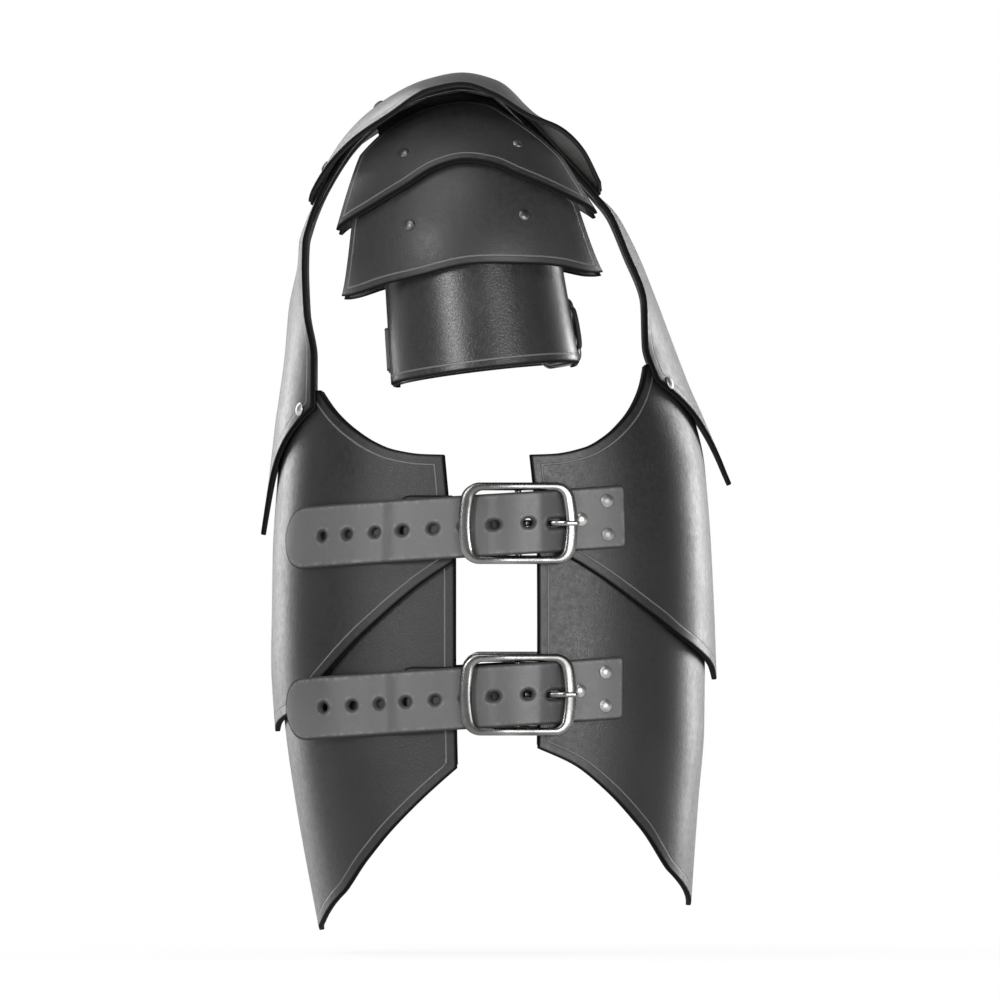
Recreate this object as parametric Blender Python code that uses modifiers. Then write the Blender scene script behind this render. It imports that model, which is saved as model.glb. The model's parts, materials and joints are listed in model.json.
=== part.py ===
"""A leather breastplate: a yoke, four body plates, four buckled side straps and two laminated shoulders.

The wearer faces -Y and the wearer's left is +X. The origin is where the shoulders carry the yoke.
Run it with: blender --background --python part.py
"""
import math
from collections import namedtuple

import bmesh
import bpy
import numpy as np
from mathutils import Matrix, Vector

# Leather and the gap that touching pieces keep
PLATE_LEATHER = 0.0035
BILLET_LEATHER = 0.0032
CHAPE_LEATHER = 0.0025
SEAT_GAP = 0.0003
PLATE_GAP = 0.0005

# Body form, a squared oval that is fullest at the sides
TORSO_HALF_WIDTH = 0.178
CHEST_DEPTH = 0.135
BACK_DEPTH = 0.138
BODY_DROP = 0.545
SQUARENESS_SHARE = 4.0
TAPER_SHARE = 0.18
SIDE_ROUND_SHARE = 0.15
GIRTH_DROP_SHARE = 0.55
CHEST_DEPTH_SHARES = (
    (0.14, 0.83), (0.28, 0.90), (0.35, 0.933), (0.385, 0.956), (0.46, 0.981),
    (0.55, 1.0), (0.66, 1.0), (0.75, 0.974), (0.845, 0.921), (1.0, 0.806))
BACK_DEPTH_SHARES = (
    (0.14, 0.638), (0.22, 0.71), (0.3, 0.795), (0.35, 0.873), (0.383, 0.92), (0.44, 0.968),
    (0.55, 0.994), (0.64, 1.0), (0.75, 0.997), (0.845, 0.968), (1.0, 0.925))

# Body plates: drops below the shoulder as shares of the body drop, and gaps between an edge and the side line
FRONT_UPPER_TOP_SHARE = 0.3578
FRONT_CORNER_DROP_SHARE = 0.3486
ARMHOLE_DROP_SHARE = 0.4257
FRONT_UPPER_SIDE_SHARE = 0.5541
FRONT_UPPER_TIP_SHARE = 0.7596
FRONT_LOWER_TOP_SHARE = 0.4532
FRONT_LOWER_MIDDLE_SHARE = 0.6697
FRONT_LOWER_SIDE_SHARE = 0.8018
FRONT_LOWER_TIP_SHARE = 0.9991
FRONT_EDGE_TOP_GAP = 0.030
FRONT_EDGE_HEM_GAP = 0.0225
FRONT_TIP_FLARE = 0.003
BACK_UPPER_TOP_SHARE = 0.3394
BACK_CORNER_DROP_SHARE = 0.3183
BACK_UPPER_SIDE_SHARE = 0.5284
BACK_UPPER_TIP_SHARE = 0.6972
BACK_LOWER_TOP_SHARE = 0.4532
BACK_LOWER_MIDDLE_SHARE = 0.6147
BACK_LOWER_SIDE_SHARE = 0.7780
BACK_LOWER_TIP_SHARE = 0.9697
BACK_EDGE_TOP_GAP = 0.026
BACK_EDGE_HEM_GAP = 0.031
BACK_TIP_FLARE = 0.004
FRONT_CORNER_SHARE = 0.579
BACK_CORNER_SHARE = 0.554
PLATE_ROWS = 3
COLUMN_CROWD_SHARE = 0.8

# Yoke: drops of its points as shares of the body drop, and the profile of its inner face over the shoulder
YOKE_FRONT_TIP_SHARE = 0.5239
YOKE_FRONT_CORNER_SHARE = 0.3697
YOKE_FRONT_FORM_TOP_SHARE = 0.3083
YOKE_FRONT_FLARE = 0.0045
YOKE_BACK_TIP_SHARE = 0.4642
YOKE_BACK_CORNER_SHARE = 0.3376
YOKE_BACK_FORM_TOP_SHARE = 0.2936
YOKE_BACK_FLARE = 0.013
YOKE_FRONT_GIRTH_SHARE = 0.52
YOKE_BACK_GIRTH_SHARE = 0.50
YOKE_HALF_WIDTH = 0.166
YOKE_RISE = 0.130
YOKE_COLUMNS = 7
YOKE_CROWD_SHARE = 0.4
BIB_ROWS = 5
# Each row: edge x, edge y, edge z, inner x, inner y, inner z, as shares of the half width,
# of the chest or back depth, and of the rise.
YOKE_ROW_SHARES = (
    (0.843, -0.878, -1.06, 0.0, -0.955, -1.04),
    (0.885, -0.887, -0.84, 0.0, -0.912, -0.82),
    (0.910, -0.884, -0.725, 0.0, -0.905, -0.715),
    (0.925, -0.862, -0.63, 0.26, -0.880, -0.64),
    (0.945, -0.815, -0.50, 0.39, -0.818, -0.50),
    (0.975, -0.660, -0.235, 0.51, -0.660, -0.235),
    (0.990, -0.482, -0.073, 0.55, -0.482, -0.073),
    (1.0, -0.291, 0.023, 0.565, -0.291, 0.023),
    (1.0, -0.133, 0.054, 0.56, -0.133, 0.054),
    (1.0, 0.011, 0.021, 0.54, 0.011, 0.021),
    (0.995, 0.134, -0.092, 0.50, 0.134, -0.092),
    (0.980, 0.308, -0.281, 0.41, 0.308, -0.281),
    (0.960, 0.485, -0.485, 0.23, 0.485, -0.485),
    (0.945, 0.556, -0.580, 0.0, 0.575, -0.570),
    (0.920, 0.635, -0.773, 0.0, 0.675, -0.76),
    (0.875, 0.720, -1.02, 0.0, 0.768, -1.0))

# Side straps: a billet riveted to the back plate passes a centre-bar buckle held on the front plate.
# Their drops are shares of the body drop.
BAR_OFFSET = 0.0172
UPPER_STRAP_DROP_SHARE = 0.5081
LOWER_STRAP_DROP_SHARE = 0.7137
BILLET_SLOPE_DEG = 3.8
BILLET_WIDTH = 0.0396
BILLET_FRONT_REACH = 0.166
BILLET_END_MARGIN = 0.0125
BILLET_TIP_LENGTH = 0.023
BILLET_COLUMNS = 12
TIP_COLUMNS = 6
TIP_BLUNT_SHARE = 0.12
HOLE_PITCH = 0.0188
HOLE_RADIUS = 0.0029
HOLE_COUNT = 9
FIRST_HOLE_PLACE = 0.0048
PRONG_HOLE_PLACE = 0.0218
PRONG_SLOT_LENGTH = 0.0135
SLOT_CORNER_SHARE = 0.8
CHAPE_WIDTH = 0.0365
CHAPE_TONGUE_WIDTH = 0.034
CHAPE_REACH = 0.072
CHAPE_SHOULDER = 0.042
CHAPE_RETURN = 0.0175
CHAPE_RIVET_PLACE = 0.057
CHAPE_RIVET_SPREAD = 0.0085
CHAPE_CORNER_SHARE = 0.93
CHAPE_JOIN_SHARE = 0.82
CHAPE_FALL_SHARES = ((0.22, 0.3), (0.42, 0.85), (0.6, 1.0), (1.0, 1.0))
PRONG_SLIT_SHARE = 1.9

# Buckles
PRONG_EYE_GAP = 0.0002
PRONG_NECK_DEG = 20.0
PRONG_ROOT_SHARE = 0.97
# Prong path: share of its length, and share of the climb from the centre bar to its rest
PRONG_PATH_SHARES = ((0.09, -0.03), (0.23, -0.12), (0.48, -0.07), (0.6, 0.25), (0.72, 0.78), (0.79, 1.0), (1.0, 1.04))
ARM_PRONG_PATH_SHARES = ((0.09, 0.0), (0.3, 0.0), (0.45, 0.25), (0.6, 0.6), (0.75, 1.0), (1.0, 1.04))
# Height of a billet's under side over the leather below it, by distance from the centre bar
BILLET_HEIGHTS = (
    (-0.166, 0.0003), (-0.085, 0.0003), (-0.074, 0.0031), (-0.028, 0.0031), (-0.012, 0.0096), (0.0, 0.0107),
    (0.011, 0.0099), (0.016, 0.0073), (0.021, 0.0043), (0.026, 0.0012), (0.030, 0.0003), (0.069, 0.0003))
LOWER_BILLET_HEIGHTS = (
    (-0.166, 0.0062), (-0.150, 0.0058), (-0.125, 0.0052), (-0.105, 0.0012), (-0.095, 0.0003)) + BILLET_HEIGHTS[1:]

# Rivets
RIVET_HEAD_RADIUS = 0.00425
RIVET_HEAD_HEIGHT = 0.0016
RIVET_SHANK_RADIUS = 0.0016
RIVET_BACK_RADIUS = 0.0036
RIVET_BACK_HEIGHT = 0.0009
RIVET_BACK_GAP = 0.0011
RIVET_SIDES = 8
BILLET_RIVET_GAP = 0.0045
BILLET_RIVET_PITCH = 0.0170
BILLET_RIVET_SPREAD = 0.0110
YOKE_RIVET_INSET_SHARE = 0.90
YOKE_RIVET_DROP_SHARE = 0.2

# Shoulders: caps on the yoke, lames that turn about one axis under each cap, and an arm cuff
PIVOT_OUT = 0.1505
PIVOT_BACK = -0.0125
PIVOT_DROP = 0.1085
SHOULDER_LEAN_DEG = 5.0
ARCH_RADIUS = 0.094
UPPER_LAME_RADIUS = 0.108
LOWER_ARCH_RADIUS = 0.0885
UPPER_LAME_TOP_HALF = 0.064
LAME_HEM_HALF = 0.083
LOWER_LAME_TOP_HALF = 0.070
LOWER_LAME_HEM_HALF = 0.083
# Edges of the lames: share of the width from front to back, and angle about the lames' axis
UPPER_LAME_TOP_DEG = ((-1.0, 66.0), (-0.5, 73.0), (0.0, 76.0), (0.3, 73.0), (0.5, 65.0), (1.0, 50.0))
UPPER_LAME_HEM_DEG = (
    (-1.0, 31.0), (-0.7, 29.3), (-0.41, 31.8), (-0.16, 37.0), (0.0, 38.4), (0.19, 36.6), (0.36, 32.7),
    (0.54, 30.0), (0.72, 28.0), (1.0, 26.8))
LOWER_LAME_TOP_DEG = ((-1.0, 42.0), (0.0, 46.0), (0.5, 42.0), (1.0, 31.0))
LOWER_LAME_HEM_DEG = (
    (-1.0, -16.0), (-0.55, -5.2), (-0.32, -2.5), (0.0, 0.2), (0.4, -2.0), (0.56, -4.0), (0.83, -10.7), (1.0, -15.0))
LAME_COLUMNS = 17
LAME_ROWS = 3
UPPER_RIVET_DEG = 47.5
LOWER_RIVET_DEG = 17.5
CUFF_OUT = 0.1955
CUFF_BACK = -0.0030
CUFF_DROP = 0.1795
CUFF_HEIGHT = 0.088
CUFF_TOP_RADIUS = 0.0535
CUFF_HEM_RADIUS = 0.0585
CUFF_LEAN_OUT_DEG = 3.5
CUFF_LEAN_BACK_DEG = 6.7
CUFF_WRAP_DEG = 105.0
CUFF_COLUMNS = 18
CUFF_ROWS = 2
CUFF_SLOT_WIDTH = 0.0090
CAP_INNER_SHARE = 0.66
CAP_CROWN = 0.003
CAP_COLUMNS = 7
CAP_EASE_SHARE = 0.55
CAP_RIVET_SHARES = ((0.1, 0.33), (0.3, 0.33))
# Cap rim, front to back: x, y, z of its under face, as shares of the yoke's half width and rise
CAP_RIM_SHARES = (
    (0.905, -0.857, -0.480), (1.04, -0.775, -0.350), (1.17, -0.650, -0.215), (1.245, -0.480, -0.095),
    (1.28, -0.290, 0.030), (1.29, -0.135, 0.058), (1.28, 0.010, 0.010), (1.255, 0.175, -0.095),
    (1.22, 0.330, -0.160), (1.13, 0.440, -0.270), (0.960, 0.515, -0.430))
LEATHER_THICKNESS = 0.0020
LEATHER_WIDTH = 0.104
LEATHER_ROWS = 15
LEATHER_COLUMNS = 11
# Lower edge of a shoulder leather: share of its half width, and angle about the lames' axis
LEATHER_END_DEG = ((0.0, 24.0), (0.4, 20.0), (0.6, 9.0), (0.8, 3.0), (1.0, 3.0))
# Arch radius of a shoulder leather's outer face, by angle about the lames' axis
LEATHER_RADII = (
    (3.0, 0.0850), (9.0, 0.0850), (20.0, 0.0868), (48.0, 0.0868), (54.0, 0.0920), (66.0, 0.0922), (80.0, 0.0924),
    (88.0, 0.1040))
LAME_RIVET_PLACE = 0.0375
CAP_RIVET_RADIUS = 0.0038

# Arm strap and its buckle
ARM_STRAP_WIDTH = 0.028
ARM_STRAP_LEATHER = 0.0025
ARM_STRAP_RISE = 0.024
ARM_BUCKLE_DEG = 128.0
ARM_STRAP_END_DEG = 94.0
ARM_SLOT_DEG = -95.0
ARM_STRAP_COLUMNS = 14
ARM_SLOT_COLUMNS = 10
ARM_END_COLUMNS = 5
ARM_CHAPE_LEATHER = 0.0016
ARM_CHAPE_REACH = 0.038
ARM_CHAPE_RETURN = 0.011
ARM_RIVET_DEG = 98.0
ARM_TURN_IN_DEG = 16.0
ARM_PRONG_SLOT = 0.008
ARM_PRONG_PLACE = 0.0088
# Height of the arm strap's under side over the cuff's inner face, by distance from the centre bar
ARM_STRAP_HEIGHTS = (
    (-0.040, 0.0056), (-0.026, 0.0056), (-0.0115, 0.0052), (-0.003, 0.0090), (0.003, 0.0090), (0.0055, 0.0070),
    (0.0085, 0.0036), (0.0115, 0.0008), (0.015, 0.0), (0.080, 0.0))

# Sizes of a buckle: its frame, its bars and its prong
Buckle = namedtuple("Buckle", (
    "length width end_bar side_bar thickness bevel corner front back bar_radius bar_height "
    "prong_seat prong_length prong_width prong_tip prong_thickness"))
SIDE_BUCKLE = Buckle(
    length=0.0700, width=0.0534, end_bar=0.0068, side_bar=0.0045, thickness=0.0050, bevel=0.0012, corner=0.0080,
    front=0.0101, back=0.0072, bar_radius=0.0020, bar_height=0.0051, prong_seat=0.0005,
    prong_length=0.0352, prong_width=0.0044, prong_tip=0.0030, prong_thickness=0.0024)
ARM_BUCKLE = Buckle(
    length=0.0320, width=0.0430, end_bar=0.0040, side_bar=0.0040, thickness=0.0032, bevel=0, corner=0.0060,
    front=0.0105, back=0.0066, bar_radius=0.0015, bar_height=0.0044, prong_seat=0.0011,
    prong_length=0.0166, prong_width=0.0036, prong_tip=0.0026, prong_thickness=0.0018)
# A billet's rivets keep their distance from the buckle's end bar, and its end from the rivets.
BILLET_RIVET_FIRST = SIDE_BUCKLE.length / 2 + BILLET_RIVET_GAP
BILLET_RIVET_SECOND = BILLET_RIVET_FIRST + BILLET_RIVET_PITCH
BILLET_BACK_REACH = BILLET_RIVET_SECOND + BILLET_END_MARGIN

LAYER = PLATE_LEATHER + PLATE_GAP
SIDES = (("left", 1), ("right", -1))


def smooth(table, place):
    """Cubic curve through a table of (place, value) pairs that never overshoots a value."""
    at, value = np.array(table, dtype=float).T
    place = np.clip(place, at[0], at[-1])
    slope = np.diff(value) / np.diff(at)
    left, right = slope[:-1], slope[1:]
    same = left * right > 0
    inner = np.where(same, 2 * left * right / np.where(same, left + right, 1), 0)
    tangent = np.concatenate((slope[:1], inner, slope[-1:]))
    index = np.clip(np.searchsorted(at, place, side="right") - 1, 0, len(at) - 2)
    width = at[index + 1] - at[index]
    step = (place - at[index]) / width
    rest = 1 - step
    return (value[index] * rest * rest * (1 + 2 * step) + value[index + 1] * step * step * (3 - 2 * step)
            + width * step * rest * (tangent[index] * rest - tangent[index + 1] * step))


def mix(first, second, share):
    """Straight blend from first to second."""
    return first + (second - first) * share


def torso(turn, height, lift):
    """Point on the body form: turn is 0 at mid chest, a quarter turn at the side, a half turn at the spine."""
    turn, height, lift = np.broadcast_arrays(*(np.asarray(value, float) for value in (turn, height, lift)))
    cosine = np.cos(turn)
    power = 2 / SQUARENESS_SHARE
    share = np.abs(cosine) ** power
    lean = np.hypot(share, SIDE_ROUND_SHARE) - SIDE_ROUND_SHARE
    drop = -height / BODY_DROP
    chest = CHEST_DEPTH * smooth(CHEST_DEPTH_SHARES, drop)
    spine = BACK_DEPTH * smooth(BACK_DEPTH_SHARES, drop)
    depth = np.where(cosine > 0, chest, spine) + lift
    sine = np.where(np.abs(np.sin(turn)) < 1e-9, 0, np.abs(np.sin(turn)))
    x = (TORSO_HALF_WIDTH + lift) * (1 - TAPER_SHARE * lean) * sine ** power
    return np.stack((x, -np.sign(cosine) * share * depth, height), axis=-1)


def girth_table(height, lift):
    """Turns round half the body form, and the distance run along it to each, from mid chest."""
    turns = np.linspace(0, math.pi, 20001)
    steps = np.linalg.norm(np.diff(torso(turns, height, lift), axis=0), axis=1)
    return turns, np.concatenate(([0], np.cumsum(steps)))


TURNS, RUN = girth_table(-BODY_DROP * GIRTH_DROP_SHARE, 0)
QUARTER = float(np.interp(math.pi / 2, TURNS, RUN))


def turn_to_girth(share, back):
    """Turn at a share of the quarter girth, counted from mid chest or from the spine to the side."""
    return np.interp(RUN[-1] - share * (RUN[-1] - QUARTER) if back else share * QUARTER, RUN, TURNS)


def clear_scene():
    """Remove every object that the file holds."""
    for old in list(bpy.data.objects):
        bpy.data.objects.remove(old, do_unlink=True)


clear_scene()
PARTS = bpy.data.collections.new("leather_breastplate")
CUTTERS = bpy.data.collections.new("cutters")
bpy.context.scene.collection.children.link(PARTS)
bpy.context.scene.collection.children.link(CUTTERS)


def finish(name, colour, roughness, metallic):
    """Principled material of one colour."""
    material = bpy.data.materials.new(name)
    material.use_nodes = True
    shader = material.node_tree.nodes["Principled BSDF"]
    shader.inputs["Base Color"].default_value = (*colour, 1)
    shader.inputs["Roughness"].default_value = roughness
    shader.inputs["Metallic"].default_value = metallic
    return material


PLATE_BLACK = finish("plate_leather", (0.022, 0.022, 0.023), 0.42, 0)
STRAP_BLACK = finish("strap_leather", (0.035, 0.035, 0.036), 0.38, 0)
LINING_GREY = finish("lining_leather", (0.09, 0.088, 0.085), 0.8, 0)
ANTIQUE_STEEL = finish("antique_steel", (0.42, 0.41, 0.40), 0.28, 1)


def add(name, mesh, material, collection=PARTS, matrix=None):
    """New object of a mesh, with its own material where it has none."""
    piece = bpy.data.objects.new(name, mesh)
    collection.objects.link(piece)
    if material is not None and not mesh.materials:
        mesh.materials.append(material)
    if matrix is not None:
        piece.matrix_world = matrix
    return piece


def grid_mesh(name, points):
    """Open sheet through a (rows, columns, 3) array of points, from a flat grid."""
    rows, columns = points.shape[:2]
    bm = bmesh.new()
    bmesh.ops.create_grid(bm, x_segments=columns - 1, y_segments=rows - 1, size=1)
    for vertex in bm.verts:
        column = round((vertex.co.x + 1) / 2 * (columns - 1))
        row = round((vertex.co.y + 1) / 2 * (rows - 1))
        vertex.co = points[row, column]
    bmesh.ops.remove_doubles(bm, verts=bm.verts, dist=0.00001)
    mesh = bpy.data.meshes.new(name)
    bm.to_mesh(mesh)
    bm.free()
    return mesh


def thicken(piece, thickness):
    """Give an open sheet its wall, on the side that its faces look to."""
    wall = piece.modifiers.new("Wall", "SOLIDIFY")
    wall.thickness = thickness
    wall.offset = 1
    wall.use_even_offset = True
    return piece


def mirror(piece):
    """Complete a half that is open at the middle plane."""
    half = piece.modifiers.new("Other half", "MIRROR")
    half.use_axis = (True, False, False)
    half.merge_threshold = 0.0001
    return piece


def boolean(piece, other, operation):
    """Cut or join with another object, which is then only a guide."""
    step = piece.modifiers.new(operation.title(), "BOOLEAN")
    step.operation = operation
    step.solver = "EXACT"
    step.object = other
    other.hide_render = True
    other.display_type = "WIRE"
    return piece


def rods(name, frames, radius, low, high, sides=RIVET_SIDES):
    """Cylinders along the Z of each frame, from low to high, as one guide object."""
    bm = bmesh.new()
    for frame in frames:
        place = frame @ Matrix.Translation((0, 0, (low + high) / 2))
        bmesh.ops.create_cone(bm, cap_ends=True, segments=sides, radius1=radius, radius2=radius,
                              depth=high - low, matrix=place)
    mesh = bpy.data.meshes.new(name)
    bm.to_mesh(mesh)
    bm.free()
    return add(name, mesh, None, CUTTERS)


def evaluated_mesh(piece):
    """Mesh of a piece in world space with its modifiers worked in."""
    bpy.context.view_layer.update()
    graph = bpy.context.evaluated_depsgraph_get()
    mesh = bpy.data.meshes.new_from_object(piece.evaluated_get(graph))
    mesh.transform(piece.matrix_world)
    return mesh


def settle(piece, origin=None):
    """Work the modifiers in, and put the piece's origin at a point of its joint axis."""
    mesh = evaluated_mesh(piece)
    piece.modifiers.clear()
    place = Matrix.Translation(origin if origin is not None else (0, 0, 0))
    mesh.transform(place.inverted())
    piece.data = mesh
    piece.matrix_world = place
    return piece


def other_side(piece):
    """The right-hand twin of a left-hand piece, mirrored at the middle plane."""
    mesh = evaluated_mesh(piece)
    flip = Matrix.Scale(-1, 4, (1, 0, 0))
    origin = flip @ piece.matrix_world.translation
    mesh.transform(flip)
    mesh.flip_normals()
    mesh.transform(Matrix.Translation(origin).inverted())
    return add(piece.name.replace("left", "right"), mesh, None, PARTS, Matrix.Translation(origin))


def frame_at(surface, along, across, lift):
    """Frame on a surface function: X along it, Y across it, Z off it."""
    step = PLATE_LEATHER
    here = Vector(surface(along, across, lift))
    x_axis = (Vector(surface(along + step, across, lift)) - Vector(surface(along - step, across, lift))).normalized()
    side = Vector(surface(along, across + step, lift)) - Vector(surface(along, across - step, lift))
    z_axis = x_axis.cross(side).normalized()
    y_axis = z_axis.cross(x_axis)
    frame = Matrix((x_axis, y_axis, z_axis)).transposed().to_4x4()
    frame.translation = here
    return frame


def flipped(frame):
    """The frame's twin on the other side of the middle plane, still right-handed."""
    flip = Matrix.Scale(-1, 4, (1, 0, 0))
    return flip @ frame @ Matrix.Scale(-1, 4, (0, 1, 0))


def both(frames):
    """Left-hand frames with their right-hand twins."""
    return list(frames) + [flipped(frame) for frame in frames]


# Body plates
ARMHOLE_SHARES = ((0.0, 0.0), (0.2, 0.36), (0.36, 0.61), (0.5, 0.79), (0.65, 0.92), (0.85, 0.99), (1.0, 1.0))
FRONT_HEM_SHARES = ((0.0, 1.0), (0.42, 0.90), (0.525, 0.81), (0.61, 0.69), (0.755, 0.41), (0.91, 0.13), (1.0, 0.0))
FRONT_TAIL_SHARES = ((0.0, 1.0), (0.3, 0.96), (0.571, 0.77), (0.70, 0.55), (0.786, 0.385), (0.906, 0.165), (1.0, 0.0))
FRONT_TUCK_SHARES = ((0.0, 1.0), (0.5, 0.75), (0.75, 0.4), (1.0, 0.0))
BACK_HEM_SHARES = ((0.0, 1.0), (0.38, 0.84), (0.552, 0.70), (0.677, 0.52), (0.852, 0.22), (1.0, 0.0))
BACK_TAIL_SHARES = ((0.0, 1.0), (0.25, 0.95), (0.523, 0.78), (0.672, 0.50), (0.79, 0.27), (0.892, 0.106), (1.0, 0.0))
COLUMN_SHARES = np.concatenate((np.linspace(0, 1, 8) ** COLUMN_CROWD_SHARE, 1 + np.linspace(0, 1, 10)[1:]))


def falling(shares, side, middle):
    """Edge whose height falls from the side to the middle, all as shares of the body drop."""
    return lambda across: -BODY_DROP * mix(side, middle, smooth(shares, across))


def armhole(middle_drop, corner_drop, corner):
    """Top edge: level under the yoke, then the armhole's scoop from its corner to the side."""
    def edge(across):
        scoop = smooth(ARMHOLE_SHARES, (across - corner) / (1 - corner))
        level = mix(middle_drop, corner_drop, np.clip(across / corner, 0, 1) ** 2)
        return -BODY_DROP * np.where(across < corner, level, mix(corner_drop, ARMHOLE_DROP_SHARE, scoop))
    return edge


def body_plate(name, back, lift, top, hem, edge_gaps, corner, flare):
    """Half a plate on the body form, mirrored at the middle plane and given its leather."""
    first = COLUMN_SHARES <= 1
    across = np.where(first, COLUMN_SHARES * corner, corner + (COLUMN_SHARES - 1) * (1 - corner))
    rise = np.linspace(0, 1, PLATE_ROWS + 1)[:, None]
    height = mix(hem(across)[None, :], top(across)[None, :], rise)
    edge_share = 1 - mix(edge_gaps[1], edge_gaps[0], rise) / QUARTER
    turn = turn_to_girth(across[None, :] * edge_share, back)
    tip = flare * np.clip(1 - across[None, :], 0, 1) ** 2 * (1 - rise) ** 2
    points = torso(turn, height, lift + tip)
    points[:, 0, 0] = 0
    piece = add(name, grid_mesh(name, points[::-1] if back else points), PLATE_BLACK)
    return thicken(mirror(piece), PLATE_LEATHER)


FRONT_GAPS = (FRONT_EDGE_TOP_GAP, FRONT_EDGE_HEM_GAP)
BACK_GAPS = (BACK_EDGE_TOP_GAP, BACK_EDGE_HEM_GAP)
front_upper = body_plate(
    "front_upper_plate", False, LAYER, armhole(FRONT_UPPER_TOP_SHARE, FRONT_CORNER_DROP_SHARE, FRONT_CORNER_SHARE),
    falling(FRONT_HEM_SHARES, FRONT_UPPER_SIDE_SHARE, FRONT_UPPER_TIP_SHARE), FRONT_GAPS,
    FRONT_CORNER_SHARE, FRONT_TIP_FLARE)
front_lower = body_plate(
    "front_lower_plate", False, 0, falling(FRONT_TUCK_SHARES, FRONT_LOWER_TOP_SHARE, FRONT_LOWER_MIDDLE_SHARE),
    falling(FRONT_TAIL_SHARES, FRONT_LOWER_SIDE_SHARE, FRONT_LOWER_TIP_SHARE), (FRONT_EDGE_HEM_GAP,) * 2,
    FRONT_CORNER_SHARE, 0)
back_upper = body_plate(
    "back_upper_plate", True, LAYER, armhole(BACK_UPPER_TOP_SHARE, BACK_CORNER_DROP_SHARE, BACK_CORNER_SHARE),
    falling(BACK_HEM_SHARES, BACK_UPPER_SIDE_SHARE, BACK_UPPER_TIP_SHARE), BACK_GAPS,
    BACK_CORNER_SHARE, BACK_TIP_FLARE)
back_lower = body_plate(
    "back_lower_plate", True, 0, falling(FRONT_TUCK_SHARES, BACK_LOWER_TOP_SHARE, BACK_LOWER_MIDDLE_SHARE),
    falling(BACK_TAIL_SHARES, BACK_LOWER_SIDE_SHARE, BACK_LOWER_TIP_SHARE), (BACK_EDGE_HEM_GAP,) * 2,
    BACK_CORNER_SHARE, 0)


# Yoke
def crowded(count):
    """Places from 0 to 1 that lie closer together towards 1."""
    even = np.linspace(0, 1, count)
    return even * (1 + YOKE_CROWD_SHARE * (1 - even))


def form_rows(back, tip_drop, corner_drop, form_top, girth_share, flare):
    """Rows of a bib on the body form, from its tip to its corner and up to the end of the form."""
    rows = []
    across = crowded(YOKE_COLUMNS)
    for step in range(BIB_ROWS + 2):
        share = min(step / BIB_ROWS, 1)
        level = form_top if step > BIB_ROWS else mix(tip_drop, corner_drop, share)
        turn = turn_to_girth(across * girth_share * share, back)
        lift = 2 * LAYER + PLATE_GAP + flare * (1 - share) ** 2
        row = torso(turn, -BODY_DROP * level, lift)
        row[0, 0] = 0
        rows.append(row)
    return rows


def free_row(shares):
    """Row of the yoke between its neck edge or middle line and its armhole edge."""
    scale = [YOKE_HALF_WIDTH, CHEST_DEPTH if shares[1] < 0 else BACK_DEPTH, YOKE_RISE]
    edge = np.array(shares[:3]) * scale
    inner = np.array(shares[3:]) * scale
    across = crowded(YOKE_COLUMNS)[:, None]
    row = mix(inner, edge, across)
    row[:, 1] = mix(inner[1], edge[1], across[:, 0] ** 3)
    return row


yoke_rows = form_rows(False, YOKE_FRONT_TIP_SHARE, YOKE_FRONT_CORNER_SHARE, YOKE_FRONT_FORM_TOP_SHARE,
                      YOKE_FRONT_GIRTH_SHARE, YOKE_FRONT_FLARE)
yoke_rows += [free_row(shares) for shares in YOKE_ROW_SHARES]
yoke_rows += form_rows(True, YOKE_BACK_TIP_SHARE, YOKE_BACK_CORNER_SHARE, YOKE_BACK_FORM_TOP_SHARE,
                       YOKE_BACK_GIRTH_SHARE, YOKE_BACK_FLARE)[::-1]
yoke = add("yoke", grid_mesh("yoke", np.array(yoke_rows)), PLATE_BLACK)
thicken(mirror(yoke), PLATE_LEATHER)


# Fasteners and the holes for them
def turned_mesh(name, profile, sides=RIVET_SIDES):
    """Body of revolution about Z, from a profile that runs down its outer side."""
    mesh = bpy.data.meshes.new(name)
    mesh.from_pydata([(radius, 0, height) for radius, height in profile],
                     [(index, index + 1) for index in range(len(profile) - 1)], [])
    guide = add(name + "_profile", mesh, None, CUTTERS)
    screw = guide.modifiers.new("Turn", "SCREW")
    screw.steps = sides
    screw.render_steps = sides
    screw.use_merge_vertices = True
    screw.merge_threshold = 0.0001
    screw.use_smooth_shade = True
    made = evaluated_mesh(guide)
    bpy.data.objects.remove(guide, do_unlink=True)
    return made


def rivet_mesh(name, grip):
    """Rivet with a domed head over the leather, its shank, and a flat peened end at the back."""
    head = SEAT_GAP
    back = -grip - RIVET_BACK_GAP
    profile = (
        (0, head + RIVET_HEAD_HEIGHT), (RIVET_HEAD_RADIUS * 0.6, head + RIVET_HEAD_HEIGHT * 0.8),
        (RIVET_HEAD_RADIUS, head),
        (RIVET_SHANK_RADIUS, head), (RIVET_SHANK_RADIUS, back), (RIVET_BACK_RADIUS, back),
        (RIVET_BACK_RADIUS, back - RIVET_BACK_HEIGHT), (0, back - RIVET_BACK_HEIGHT))
    return turned_mesh(name, profile)


def body_surface(along, height, lift):
    """Body form by distance from mid chest round to the spine."""
    return torso(np.interp(along, RUN, TURNS), height, lift)


def bore(piece, frames, reach):
    """Clearance holes for shanks, cut along the Z of each frame."""
    radius = RIVET_SHANK_RADIUS + SEAT_GAP
    return boolean(piece, rods(piece.name + "_bores", frames, radius, -reach, reach), "DIFFERENCE")


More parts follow.
